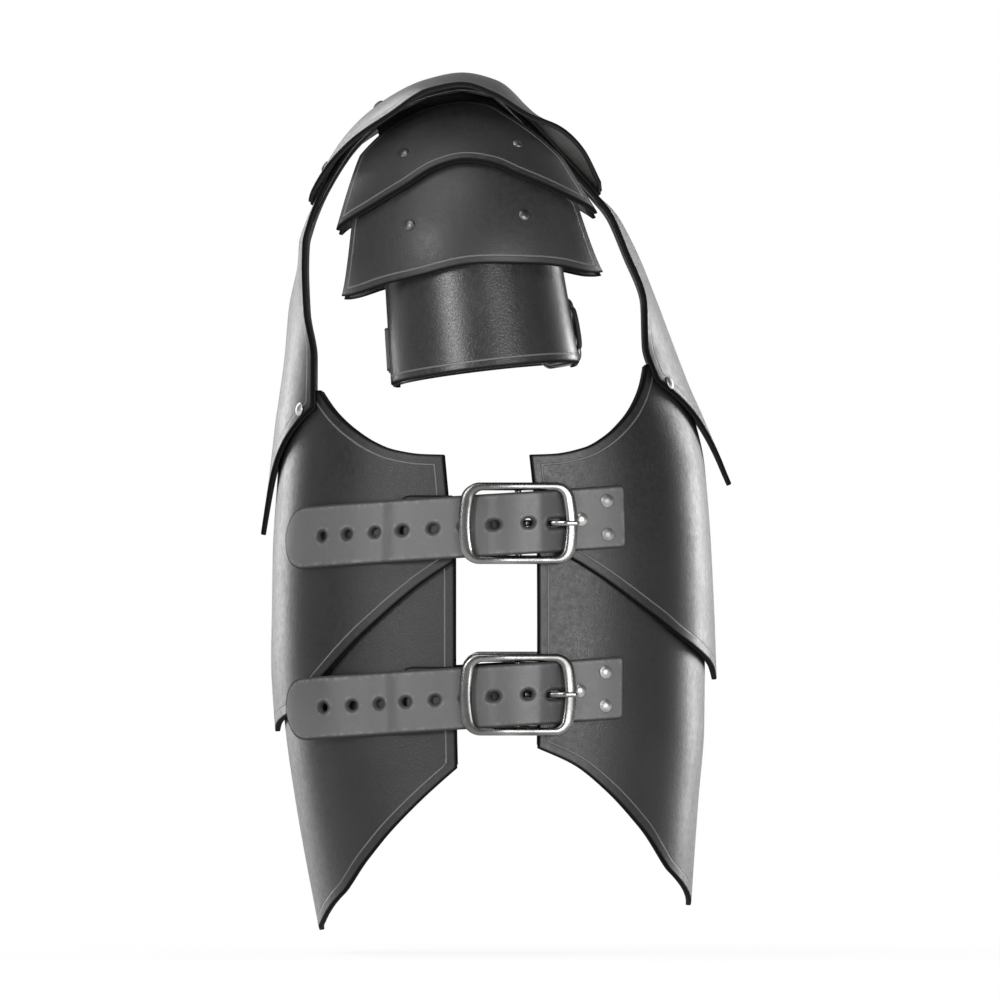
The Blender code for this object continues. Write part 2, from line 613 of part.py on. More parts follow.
yoke_grip = LAYER + PLATE_GAP + PLATE_LEATHER
front_place = QUARTER * YOKE_FRONT_GIRTH_SHARE * YOKE_RIVET_INSET_SHARE
back_place = RUN[-1] - (RUN[-1] - QUARTER) * YOKE_BACK_GIRTH_SHARE * YOKE_RIVET_INSET_SHARE
yoke_top_lift = 2 * LAYER + PLATE_GAP + PLATE_LEATHER
rivet_drop = RIVET_HEAD_RADIUS * YOKE_RIVET_DROP_SHARE
front_rivet = frame_at(
    body_surface, front_place, -BODY_DROP * YOKE_FRONT_CORNER_SHARE - rivet_drop, yoke_top_lift)
back_rivet = frame_at(
    body_surface, back_place, -BODY_DROP * YOKE_BACK_CORNER_SHARE - rivet_drop, yoke_top_lift)
yoke_rivet = rivet_mesh("yoke_rivet", yoke_grip + RIVET_BACK_GAP)
for end, frame in (("front", front_rivet), ("back", back_rivet)):
    for side, sign in SIDES:
        place = frame if sign > 0 else flipped(frame)
        add(f"{side}_{end}_yoke_rivet", yoke_rivet, ANTIQUE_STEEL, PARTS, place)
YOKE_STACK = 2 * yoke_grip
bore(yoke, both([front_rivet, back_rivet]), YOKE_STACK)
bore(front_upper, both([front_rivet]), YOKE_STACK)
bore(back_upper, both([back_rivet]), YOKE_STACK)


# Side straps and their buckles, modelled flat and then laid round the body
BAR_RUN = QUARTER + BAR_OFFSET


def strap_surface(drop_share, base, slope_deg):
    """Body surface by distance from the centre bar, distance up, and height over the leather below."""
    rise = math.tan(math.radians(slope_deg))
    return lambda along, across, lift: body_surface(
        BAR_RUN + along, -BODY_DROP * drop_share + across + along * rise, base + lift)


def laid(mesh, surface):
    """Bend a flat mesh so that it lies on a surface."""
    flat = np.empty(len(mesh.vertices) * 3)
    mesh.vertices.foreach_get("co", flat)
    flat = flat.reshape(-1, 3)
    mesh.vertices.foreach_set("co", surface(flat[:, 0], flat[:, 1], flat[:, 2]).ravel())
    mesh.update()
    return mesh


def flat_outline(name, loops, half_thickness, bevel):
    """Plate with a flat outline and holes, its edges cut off by a bevel."""
    curve = bpy.data.curves.new(name, "CURVE")
    curve.dimensions = "2D"
    curve.fill_mode = "BOTH"
    curve.extrude = half_thickness
    for points in loops:
        spline = curve.splines.new("POLY")
        spline.points.add(len(points) - 1)
        spline.use_cyclic_u = True
        for point, place in zip(spline.points, points):
            point.co = (*place, 0, 1)
    guide = add(name + "_outline", curve, None, CUTTERS)
    guide.modifiers.new("Weld", "WELD").merge_threshold = 0.00001
    if bevel:
        edge = guide.modifiers.new("Edge", "BEVEL")
        edge.width = bevel
        edge.segments = 1
        edge.angle_limit = math.radians(50)
    mesh = evaluated_mesh(guide)
    bpy.data.objects.remove(guide, do_unlink=True)
    bm = bmesh.new()
    bm.from_mesh(mesh)
    bmesh.ops.recalc_face_normals(bm, faces=bm.faces)
    bm.to_mesh(mesh)
    bm.free()
    return mesh


def rounded_box(length, width, radius, steps=2):
    """Points of a rectangle with round corners and a point in the middle of each long side."""
    points = []
    quarter = math.pi / 2
    for corner, (x_sign, y_sign) in enumerate(((1, 1), (-1, 1), (-1, -1), (1, -1))):
        for step in range(steps + 1):
            angle = (corner + step / steps) * quarter
            points.append((x_sign * (length / 2 - radius) + radius * math.cos(angle),
                           y_sign * (width / 2 - radius) + radius * math.sin(angle)))
        if corner % 2 == 0:
            points.append((0, y_sign * width / 2))
    return points


def billet(name, surface, heights):
    """Strap end with a pointed tip, riveted at the back, with a row of holes."""
    start = -BILLET_FRONT_REACH
    tip = start + BILLET_TIP_LENGTH * (1 - np.cos(np.linspace(0, math.pi / 2, TIP_COLUMNS)))
    rest = np.linspace(start + BILLET_TIP_LENGTH, BILLET_BACK_REACH, BILLET_COLUMNS)[1:]
    knots = [place for place, height in heights if rest[0] < place < BILLET_BACK_REACH]
    along = np.unique(np.round(np.concatenate((tip, rest, knots)), 5))
    reach = np.clip((along - start) / BILLET_TIP_LENGTH, 0, 1)
    half = BILLET_WIDTH / 2 * np.maximum(np.sqrt(1 - (1 - reach) ** 2), TIP_BLUNT_SHARE)
    across = np.linspace(-1, 1, 2)[:, None] * half
    lift = np.broadcast_to(smooth(heights, along), across.shape)
    flat = np.stack((np.broadcast_to(along, across.shape), across, lift), axis=-1)
    piece = add(name, laid(grid_mesh(name, flat), surface), STRAP_BLACK)
    thicken(piece, BILLET_LEATHER)
    places = [FIRST_HOLE_PLACE - HOLE_PITCH * index for index in range(HOLE_COUNT - 1)]
    frames = [frame_at(surface, place, 0, float(smooth(heights, place))) for place in places]
    boolean(piece, rods(name + "_holes", frames, HOLE_RADIUS, -BILLET_LEATHER, 2 * BILLET_LEATHER), "DIFFERENCE")
    slot = flat_outline(name + "_slot", [rounded_box(
        PRONG_SLOT_LENGTH, 2 * HOLE_RADIUS, HOLE_RADIUS * SLOT_CORNER_SHARE, 2)], 3 * BILLET_LEATHER, 0)
    level = -PRONG_HOLE_PLACE * math.tan(math.radians(BILLET_SLOPE_DEG))
    place = frame_at(surface, PRONG_HOLE_PLACE, level, float(smooth(heights, PRONG_HOLE_PLACE)))
    boolean(piece, add(name + "_slot", slot, None, CUTTERS, place), "DIFFERENCE")
    rivets = [frame_at(surface, along, across, SEAT_GAP + BILLET_LEATHER)
              for along, across in ((BILLET_RIVET_FIRST, 0), (BILLET_RIVET_SECOND, BILLET_RIVET_SPREAD),
                                    (BILLET_RIVET_SECOND, -BILLET_RIVET_SPREAD))]
    return piece, rivets


def chape_path(size, leather, reach, shoulder, back_end):
    """Mid-line of a leather loop round the centre bar: distance along, and height."""
    low = SEAT_GAP + leather / 2
    high = low + leather + SEAT_GAP
    bend = size.bar_radius + 2 * SEAT_GAP + leather / 2
    top = size.bar_height + bend
    path = [(-reach, low), (-reach * CHAPE_CORNER_SHARE, low), (-shoulder, low), (-shoulder + leather, low),
            (-back_end, low), (-back_end / 2, mix(low, size.bar_height - bend, 0.1))]
    path += [(bend * math.cos(angle), size.bar_height + bend * math.sin(angle))
             for angle in np.linspace(-math.pi / 2, math.pi / 2, 8)]
    path += [(-back_end * share, mix(top, high, fall)) for share, fall in CHAPE_FALL_SHARES]
    return np.array(path), bend, low, high


def chape(name, surface, size, path, widths, leather, bend):
    """Folded leather that loops round the centre bar, slit for the prong."""
    across = np.linspace(-0.5, 0.5, 2)[:, None] * widths
    flat = np.stack((np.broadcast_to(path[:, 0], across.shape), across,
                     np.broadcast_to(path[:, 1], across.shape)), axis=-1)
    piece = add(name, laid(grid_mesh(name, flat), surface), STRAP_BLACK)
    thicken(piece, leather).modifiers["Wall"].offset = 0
    slot = bpy.data.meshes.new(name + "_slot")
    bm = bmesh.new()
    outer = bend + leather
    bmesh.ops.create_cube(bm, size=1, matrix=Matrix.Translation((0, 0, size.bar_height))
                          @ Matrix.Diagonal((2 * outer, size.prong_width * PRONG_SLIT_SHARE,
                                             2 * (outer + size.bar_height), 1)))
    bm.to_mesh(slot)
    bm.free()
    return boolean(piece, add(name + "_slot", slot, None, CUTTERS, frame_at(surface, 0, 0, 0)), "DIFFERENCE")


def fuse_rivets(piece, frames, radius, low, high, head, head_low, head_high):
    """Shanks and their heads, joined to the piece that carries them."""
    boolean(piece, rods(piece.name + "_shanks", frames, radius, low, high), "UNION")
    return boolean(piece, rods(piece.name + "_heads", frames, head, head_low, head_high), "UNION")


def buckle(name, surface, size):
    """Rectangular frame with a centre bar, a little higher at its front end."""
    mesh = flat_outline(name, [
        rounded_box(size.length, size.width, size.corner),
        rounded_box(size.length - 2 * size.end_bar, size.width - 2 * size.side_bar, size.side_bar / 2)],
        size.thickness / 2, size.bevel)
    tilt = math.atan2(size.front - size.back, size.length - size.end_bar)
    mesh.transform(Matrix.Translation((0, 0, (size.front + size.back) / 2)) @ Matrix.Rotation(tilt, 4, "Y"))
    frame = add(name, laid(mesh, surface), ANTIQUE_STEEL)
    upright = frame_at(surface, 0, 0, size.bar_height) @ Matrix.Rotation(math.pi / 2, 4, "X")
    half = (size.width - size.side_bar) / 2
    return boolean(frame, rods(name + "_bar", [upright], size.bar_radius, -half, half, 12), "UNION")


def prong(name, surface, size, shares):
    """Flat tongue that turns on the centre bar and rests on the back end bar."""
    half = size.prong_thickness / 2
    tilt = (size.front - size.back) / (size.length - size.end_bar)
    rest = size.back + (size.thickness + size.end_bar * tilt) / 2 + half + size.prong_seat
    inner = size.bar_radius + PRONG_EYE_GAP
    eye = inner + half
    path = np.array([(size.prong_length * share, mix(size.bar_height, rest, rise))
                     for share, rise in shares])
    path[0, 0] = eye * PRONG_ROOT_SHARE
    direction = np.gradient(path, axis=0)
    normal = np.stack((-direction[:, 1], direction[:, 0]), axis=1)
    normal *= (half / np.linalg.norm(normal, axis=1))[:, None]
    neck = math.radians(PRONG_NECK_DEG)
    ring = [(eye * math.cos(angle), size.bar_height + eye * math.sin(angle))
            for angle in np.linspace(neck, 2 * math.pi - neck, 10)]
    loop = [tuple(point) for point in path - normal] + [tuple(point) for point in (path + normal)[::-1]]
    hole = [(inner * math.cos(angle), size.bar_height + inner * math.sin(angle))
            for angle in np.linspace(0, 2 * math.pi, 13)[:-1]]
    mesh = flat_outline(name, [ring + loop, hole], size.prong_width / 2, 0)
    mesh.transform(Matrix.Rotation(math.pi / 2, 4, "X"))
    for vertex in mesh.vertices:
        vertex.co.y *= mix(1, size.prong_tip / size.prong_width, max(vertex.co.x, 0) / size.prong_length)
    return add(name, laid(mesh, surface), ANTIQUE_STEEL)


PLATE_STACK = LAYER + PLATE_LEATHER
for level, drop_share, base, heights in (
        ("upper", UPPER_STRAP_DROP_SHARE, PLATE_STACK, BILLET_HEIGHTS),
        ("lower", LOWER_STRAP_DROP_SHARE, PLATE_LEATHER, LOWER_BILLET_HEIGHTS)):
    sloped = strap_surface(drop_share, base, BILLET_SLOPE_DEG)
    level_surface = strap_surface(drop_share, base, 0)
    strap, billet_rivets = billet(f"left_{level}_billet", sloped, heights)
    bore(strap, billet_rivets, 3 * BILLET_LEATHER)
    path, bend, low, high = chape_path(SIDE_BUCKLE, CHAPE_LEATHER, CHAPE_REACH, CHAPE_SHOULDER, CHAPE_RETURN)
    widths = np.array([CHAPE_WIDTH * CHAPE_CORNER_SHARE] + [CHAPE_WIDTH] * 2 + [CHAPE_TONGUE_WIDTH] * (len(path) - 3))
    loop = chape(f"left_{level}_chape", level_surface, SIDE_BUCKLE, path, widths, CHAPE_LEATHER, bend)
    joins = [frame_at(level_surface, -CHAPE_RETURN * CHAPE_JOIN_SHARE, across, 0)
             for across in (-CHAPE_RIVET_SPREAD, CHAPE_RIVET_SPREAD)]
    boolean(loop, rods(loop.name + "_joins", joins, RIVET_SHANK_RADIUS, low, high), "UNION")
    chape_rivets = [frame_at(level_surface, -CHAPE_RIVET_PLACE, across, 0)
                    for across in (-CHAPE_RIVET_SPREAD, CHAPE_RIVET_SPREAD)]
    end = -base - RIVET_BACK_GAP
    fuse_rivets(loop, chape_rivets, RIVET_SHANK_RADIUS, end - RIVET_BACK_HEIGHT / 2, low,
                RIVET_BACK_RADIUS, end - RIVET_BACK_HEIGHT, end)
    frame = buckle(f"left_{level}_buckle", level_surface, SIDE_BUCKLE)
    tongue = prong(f"left_{level}_prong", level_surface, SIDE_BUCKLE, PRONG_PATH_SHARES)
    pivot = level_surface(0, 0, SIDE_BUCKLE.bar_height)
    for piece, origin in ((strap, None), (loop, None), (frame, None), (tongue, pivot)):
        other_side(settle(piece, origin))
    through = base + 2 * BILLET_LEATHER
    for front, back in ((front_lower, back_lower), (front_upper, back_upper))[:2 if level == "upper" else 1]:
        bore(front, both(chape_rivets), through)
        bore(back, both(billet_rivets), through)
    grip = base + BILLET_LEATHER + SEAT_GAP
    mesh = rivet_mesh(f"{level}_billet_rivet", grip)
    for index, place in enumerate(billet_rivets):
        for side, sign in SIDES:
            add(f"{side}_{level}_billet_rivet_{index + 1}", mesh, ANTIQUE_STEEL, PARTS,
                place if sign > 0 else flipped(place))


# Shoulders, made on the left and mirrored
def turned_about(radius, angle, across):
    """Point of a shoulder by its distance and angle about the lames' axis, and its place along that axis."""
    lean = math.radians(SHOULDER_LEAN_DEG)
    out = radius * np.cos(angle)
    up = radius * np.sin(angle)
    return np.stack((PIVOT_OUT + out, PIVOT_BACK + across * math.cos(lean) - up * math.sin(lean),
                     -PIVOT_DROP + across * math.sin(lean) + up * math.cos(lean)), axis=-1)


def lame_surface(arch):
    """Surface of a lame by place along the axis, distance up its curve, and height over its inner face."""
    inset = UPPER_LAME_RADIUS - ARCH_RADIUS
    return lambda along, across, lift: turned_about(
        inset + np.sqrt((arch + lift) ** 2 - np.asarray(along) ** 2),
        np.asarray(across) / UPPER_LAME_RADIUS, np.asarray(along))


def dome_mesh(name, radius):
    """Low dome of a rivet head, with a foot that sinks into the leather."""
    return turned_mesh(name, (
        (0, RIVET_HEAD_HEIGHT), (radius * 0.6, RIVET_HEAD_HEIGHT * 0.8), (radius, RIVET_HEAD_HEIGHT * 0.1),
        (radius, -PLATE_LEATHER / 2), (0, -PLATE_LEATHER / 2)))


def lame(name, arch, halves, top_table, hem_table, rivet_deg):
    """Curved lame between two edges given as angles about the axis, with two rivet heads."""
    place = np.linspace(-1, 1, LAME_COLUMNS)
    rise = np.linspace(0, 1, LAME_ROWS + 1)[:, None]
    along = arch * np.sin(place * np.arcsin(mix(halves[1], halves[0], rise) / arch))
    angle = np.radians(mix(smooth(hem_table, place), smooth(top_table, place), rise))
    surface = lame_surface(arch)
    piece = add(name, grid_mesh(name, surface(along, angle * UPPER_LAME_RADIUS, 0)), PLATE_BLACK)
    thicken(piece, PLATE_LEATHER)
    height = math.radians(rivet_deg) * UPPER_LAME_RADIUS
    for sign in (-1, 1):
        place = frame_at(surface, sign * LAME_RIVET_PLACE, height, PLATE_LEATHER)
        dome = add(name + "_dome", dome_mesh(name + "_dome", CAP_RIVET_RADIUS), None, CUTTERS, place)
        boolean(piece, dome, "UNION")
    return piece


CUFF_LEAN = np.array(Matrix.Rotation(math.radians(-CUFF_LEAN_OUT_DEG), 3, "Y")
                     @ Matrix.Rotation(math.radians(CUFF_LEAN_BACK_DEG), 3, "X"))


def cuff_surface(along, across, lift):
    """Surface of the arm cuff by distance round it, distance up from its hem, and height over its inner face."""
    turn = np.asarray(along, float) / CUFF_HEM_RADIUS
    across = np.asarray(across, float)
    radius = mix(CUFF_HEM_RADIUS, CUFF_TOP_RADIUS, across / CUFF_HEIGHT) + lift
    height = np.broadcast_to(across, radius.shape)
    upright = np.stack((radius * np.cos(turn), radius * np.sin(turn), height), axis=-1)
    return upright @ CUFF_LEAN.T + (CUFF_OUT, CUFF_BACK, -CUFF_DROP)


def arm_surface(along, across, lift):
    """Cuff surface by distance from the arm buckle's centre bar, and distance up from the strap's middle."""
    return cuff_surface(CUFF_HEM_RADIUS * math.radians(ARM_BUCKLE_DEG) + along, ARM_STRAP_RISE + across, lift)


def arm_run(degrees):
    """Distance along the cuff from the arm buckle's centre bar to an angle about the arm."""
    return CUFF_HEM_RADIUS * math.radians(degrees - ARM_BUCKLE_DEG)


pivot = Vector((PIVOT_OUT, PIVOT_BACK, -PIVOT_DROP))
upper_lame = lame("left_upper_lame", ARCH_RADIUS, (UPPER_LAME_TOP_HALF, LAME_HEM_HALF), UPPER_LAME_TOP_DEG,
                  UPPER_LAME_HEM_DEG, UPPER_RIVET_DEG)
lower_lame = lame("left_lower_lame", LOWER_ARCH_RADIUS, (LOWER_LAME_TOP_HALF, LOWER_LAME_HEM_HALF),
                  LOWER_LAME_TOP_DEG, LOWER_LAME_HEM_DEG, LOWER_RIVET_DEG)

# Arm cuff, with a slot that holds the fixed end of its strap
reach = CUFF_HEM_RADIUS * math.radians(CUFF_WRAP_DEG)
cuff_along = np.linspace(-reach, reach, CUFF_COLUMNS)[None, :]
cuff_across = np.linspace(0, CUFF_HEIGHT, CUFF_ROWS + 1)[:, None]
cuff_grid = cuff_surface(*np.broadcast_arrays(cuff_along, cuff_across), 0)
cuff = thicken(add("left_arm_cuff", grid_mesh("left_arm_cuff", cuff_grid), PLATE_BLACK), PLATE_LEATHER)
slot_mesh = bpy.data.meshes.new("cuff_slot")
slot_bm = bmesh.new()
bmesh.ops.create_cube(slot_bm, size=1, matrix=Matrix.Diagonal(
    (CUFF_SLOT_WIDTH, ARM_STRAP_WIDTH + 4 * PLATE_GAP, 4 * PLATE_LEATHER, 1)))
slot_bm.to_mesh(slot_mesh)
slot_bm.free()
slot_place = frame_at(arm_surface, arm_run(ARM_SLOT_DEG), 0, 0)
boolean(cuff, add("cuff_slot", slot_mesh, None, CUTTERS, slot_place), "DIFFERENCE")

# Arm strap: its end hangs outside the cuff, it passes the buckle, goes round the arm and through the slot
ends = (arm_run(ARM_STRAP_END_DEG), arm_run(360 + ARM_SLOT_DEG + ARM_TURN_IN_DEG))
slot_run = arm_run(360 + ARM_SLOT_DEG)
crowd = np.linspace(-3 * PLATE_LEATHER, 3 * PLATE_LEATHER, ARM_SLOT_COLUMNS)
near_bar = np.linspace(-ARM_BUCKLE.length / 2, ARM_BUCKLE.length / 2, ARM_SLOT_COLUMNS)
round_arm = np.linspace(near_bar[-1], slot_run + crowd[0], ARM_STRAP_COLUMNS)[1:-1]
strap_along = np.concatenate((np.linspace(ends[0], near_bar[0], ARM_END_COLUMNS)[:-1], near_bar, round_arm,
                              slot_run + crowd, ends[1:]))
over = PLATE_LEATHER + SEAT_GAP
under = -ARM_STRAP_LEATHER - 3 * SEAT_GAP
arm_heights = ARM_STRAP_HEIGHTS + (
    (slot_run - 3 * PLATE_LEATHER, over), (slot_run - PLATE_LEATHER, over), (slot_run + PLATE_LEATHER, under),
    (ends[1], under))
half = np.full(len(strap_along), ARM_STRAP_WIDTH / 2)
half[:3] *= (0.4, 0.75, 0.95)
strap_across = np.linspace(-1, 1, 2)[:, None] * half
strap_lift = np.broadcast_to(smooth(arm_heights, strap_along), strap_across.shape)
strap_grid = arm_surface(np.broadcast_to(strap_along, strap_across.shape), strap_across, strap_lift)
arm_strap = thicken(add("left_arm_strap", grid_mesh("left_arm_strap", strap_grid), STRAP_BLACK), ARM_STRAP_LEATHER)
strap_slot = flat_outline("arm_slot", [rounded_box(ARM_PRONG_SLOT, ARM_BUCKLE.prong_width * PRONG_SLIT_SHARE * 0.8,
                                                   ARM_BUCKLE.prong_width / 2, 2)], 3 * ARM_STRAP_LEATHER, 0)
boolean(arm_strap, add("arm_slot", strap_slot, None, CUTTERS, frame_at(arm_surface, ARM_PRONG_PLACE, 0, over)),
        "DIFFERENCE")

path, bend, low, high = chape_path(ARM_BUCKLE, ARM_CHAPE_LEATHER, ARM_CHAPE_REACH, ARM_CHAPE_REACH / 2,
                                   ARM_CHAPE_RETURN)
edge = arm_run(CUFF_WRAP_DEG)
inside = -3 * SEAT_GAP - ARM_CHAPE_LEATHER / 2
path = np.vstack(([(-ARM_CHAPE_REACH, inside), (edge * 1.3, inside), (edge * 0.9, inside),
                   (edge * 0.6, ARM_CHAPE_LEATHER / 2)], path[5:]))
arm_chape = chape("left_arm_chape", arm_surface, ARM_BUCKLE, path,
                  np.full(len(path), ARM_STRAP_WIDTH * CHAPE_CORNER_SHARE), ARM_CHAPE_LEATHER, bend)
arm_rivet = [frame_at(arm_surface, arm_run(ARM_RIVET_DEG), across, 0)
             for across in (-CHAPE_RIVET_SPREAD, CHAPE_RIVET_SPREAD)]
bore(cuff, arm_rivet, 2 * PLATE_LEATHER)
head_low = PLATE_LEATHER + SEAT_GAP
fuse_rivets(arm_chape, arm_rivet, RIVET_SHANK_RADIUS, inside,
            head_low + RIVET_BACK_HEIGHT / 2, RIVET_BACK_RADIUS, head_low, head_low + RIVET_BACK_HEIGHT)
arm_frame = buckle("left_arm_buckle", arm_surface, ARM_BUCKLE)
arm_prong = prong("left_arm_prong", arm_surface, ARM_BUCKLE, ARM_PRONG_PATH_SHARES)
arm_pivot = arm_surface(0, 0, ARM_BUCKLE.bar_height)


# Cap over the shoulder, riveted to the yoke
def yoke_profile(gap):
    """Profile of the yoke over the shoulder, at a height over its inner face: y and z from front to back."""
    rows = np.array(YOKE_ROW_SHARES)[:, 1:3]
    scale = np.where(rows[:, :1] < 0, CHEST_DEPTH, BACK_DEPTH)
    line = np.hstack((rows[:, :1] * scale, rows[:, 1:2] * YOKE_RISE))
    along = np.gradient(line, axis=0)
    normal = np.stack((-along[:, 1], along[:, 0]), axis=1)
    return line + normal / np.linalg.norm(normal, axis=1)[:, None] * gap


profile = yoke_profile(LAYER + PLATE_GAP)
rim = np.array(CAP_RIM_SHARES)
rim = np.stack((rim[:, 0] * YOKE_HALF_WIDTH, rim[:, 1] * np.where(rim[:, 1] < 0, CHEST_DEPTH, BACK_DEPTH),
                rim[:, 2] * YOKE_RISE), axis=1)
rim_run = np.linspace(0, 1, len(rim))
line_run = np.concatenate(([0], np.cumsum(np.linalg.norm(np.diff(profile, axis=0), axis=1))))
low_end, high_end = (np.interp(edge, profile[:, 0], line_run) for edge in (rim[0, 1], rim[-1, 1]))
base_run = np.linspace(low_end, high_end, len(rim))
base_line = np.stack([np.interp(base_run, line_run, profile[:, axis]) for axis in (0, 1)], axis=1)
cap_share = np.linspace(0, 1, CAP_COLUMNS)
cap_x = mix(YOKE_HALF_WIDTH * CAP_INNER_SHARE, rim[:, :1], cap_share[None, :])
ease = np.clip((cap_share - CAP_EASE_SHARE) / (1 - CAP_EASE_SHARE), 0, 1)[None, :] ** 2
cap_y = mix(base_line[:, :1], rim[:, 1:2], ease)
cap_z = mix(base_line[:, 1:], rim[:, 2:], ease) + CAP_CROWN * np.sin(math.pi * rim_run)[:, None] * (1 - ease)
cap_grid = np.stack((cap_x, cap_y, cap_z), axis=-1)
cap = thicken(add("left_cap", grid_mesh("left_cap", cap_grid), PLATE_BLACK), PLATE_LEATHER)

for front_share, out_share in CAP_RIVET_SHARES:
    row = round(front_share * (len(rim) - 1))
    column = round(out_share * (CAP_COLUMNS - 1))
    along = Vector(cap_grid[row + 1, column] - cap_grid[row - 1, column]).normalized()
    across = Vector(cap_grid[row, column + 1] - cap_grid[row, column - 1]).normalized()
    off = across.cross(along).normalized()
    place = Matrix((across, off.cross(across), off)).transposed().to_4x4()
    place.translation = Vector(cap_grid[row, column])
    stack = LAYER + PLATE_GAP + CAP_CROWN * math.sin(math.pi * rim_run[row]) + RIVET_BACK_GAP
    boolean(cap, rods("cap_shank", [place], RIVET_SHANK_RADIUS, -stack - RIVET_BACK_HEIGHT / 2, PLATE_LEATHER / 2),
            "UNION")
    boolean(cap, rods("cap_back", [place], RIVET_BACK_RADIUS, -stack - RIVET_BACK_HEIGHT, -stack), "UNION")
    dome = dome_mesh("cap_dome", CAP_RIVET_RADIUS)
    boolean(cap, add("cap_dome", dome, None, CUTTERS, place @ Matrix.Translation((0, 0, PLATE_LEATHER))), "UNION")
    bore(yoke, both([place]), 2 * stack)

# Broad leather that carries the lames and the cuff, from under the yoke down to two tails on the cuff
under_yoke = yoke_profile(-3 * SEAT_GAP)
leather_place = np.linspace(-1, 1, LEATHER_COLUMNS)[None, :]
leather_rise = np.linspace(0, 1, LEATHER_ROWS)[:, None]
run = np.radians(mix(smooth(LEATHER_END_DEG, np.abs(leather_place)), LEATHER_RADII[-1][0], leather_rise))
along = np.broadcast_to(leather_place * LEATHER_WIDTH / 2, run.shape)
inset = UPPER_LAME_RADIUS - ARCH_RADIUS
arch = smooth(LEATHER_RADII, np.degrees(run))
points = turned_about(inset + np.sqrt(arch ** 2 - along ** 2), run, along)
roof = np.interp(points[..., 1], under_yoke[:, 0], under_yoke[:, 1])
points[..., 2] = np.minimum(points[..., 2], roof)
leather = add("left_shoulder_leather", grid_mesh("left_shoulder_leather", points), LINING_GREY)
thicken(leather, LEATHER_THICKNESS).modifiers["Wall"].offset = -1

for piece, origin in ((upper_lame, pivot), (lower_lame, pivot), (cuff, pivot), (arm_strap, None), (arm_chape, None),
                      (arm_frame, None), (arm_prong, arm_pivot), (cap, None), (leather, None)):
    other_side(settle(piece, origin))
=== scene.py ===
"""A black leather breastplate with a yoke, four body plates, buckled side straps and lamed shoulders.

The armour is dressed in the order in which it is put together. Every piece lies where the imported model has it.
"""
import json
import math
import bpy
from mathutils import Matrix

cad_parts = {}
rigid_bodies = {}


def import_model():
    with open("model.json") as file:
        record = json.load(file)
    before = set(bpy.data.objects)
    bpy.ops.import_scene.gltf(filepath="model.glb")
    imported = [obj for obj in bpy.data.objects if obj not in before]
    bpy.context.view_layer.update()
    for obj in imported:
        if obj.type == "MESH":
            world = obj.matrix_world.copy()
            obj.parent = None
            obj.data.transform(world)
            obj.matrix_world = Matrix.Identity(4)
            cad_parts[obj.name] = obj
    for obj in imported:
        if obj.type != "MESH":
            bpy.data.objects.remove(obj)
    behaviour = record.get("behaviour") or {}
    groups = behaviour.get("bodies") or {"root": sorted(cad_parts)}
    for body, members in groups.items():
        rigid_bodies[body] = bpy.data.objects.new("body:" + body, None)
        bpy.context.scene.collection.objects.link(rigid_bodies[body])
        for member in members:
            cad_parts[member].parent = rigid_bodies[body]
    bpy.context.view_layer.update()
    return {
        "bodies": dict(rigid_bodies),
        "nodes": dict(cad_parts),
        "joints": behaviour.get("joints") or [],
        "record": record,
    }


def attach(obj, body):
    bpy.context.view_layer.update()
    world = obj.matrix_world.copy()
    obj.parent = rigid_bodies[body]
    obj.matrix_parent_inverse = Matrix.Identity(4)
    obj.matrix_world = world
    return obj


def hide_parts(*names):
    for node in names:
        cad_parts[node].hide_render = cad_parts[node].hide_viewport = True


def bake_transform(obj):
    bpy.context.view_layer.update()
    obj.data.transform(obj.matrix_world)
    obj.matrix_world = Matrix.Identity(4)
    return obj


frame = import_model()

from types import SimpleNamespace

import bmesh
import bpy
import numpy as np
from mathutils import Matrix, Vector

# The camera looks square at the wearer's left side from 24 metres away, through a very long lens, so
# that the far shoulder hides behind the near one. The armour faces the left edge of the picture.
def added(name, data):
    """New object with its data, linked to the scene."""
    made = bpy.data.objects.new(name, data)
    bpy.context.scene.collection.objects.link(made)
    return made


VIEW_DISTANCE = 24.0
VIEW_CENTRE = (0.0, 0.0066, -0.2617)
VIEW_WIDTH = 0.6587
SENSOR_WIDTH = 36.0
camera_data = bpy.data.cameras.new("side_camera")
camera_data.sensor_width = SENSOR_WIDTH
camera_data.lens = SENSOR_WIDTH * VIEW_DISTANCE / VIEW_WIDTH
camera = added("side_camera", camera_data)
camera.location = Vector(VIEW_CENTRE) + Vector((VIEW_DISTANCE, 0, 0))
camera.rotation_euler = (math.pi / 2, 0, math.pi / 2)
bpy.context.scene.camera = camera


# The chest plates: two curved plates of 3.5 mm vegetable-tanned leather, moulded wet over a form,
# dyed black, waxed and burnished. A thin line is tooled 6.5 mm inside every edge.
def wire(node, **inputs):
    """Link values to a node's sockets, or set them; i0 stands for the first socket."""
    for key, given in inputs.items():
        socket = node.inputs[int(key[1:]) if key[1:].isdigit() else key.replace("_", " ")]
        if isinstance(given, Value):
            given.tree.links.new(given.socket, socket)
        else:
            socket.default_value = given


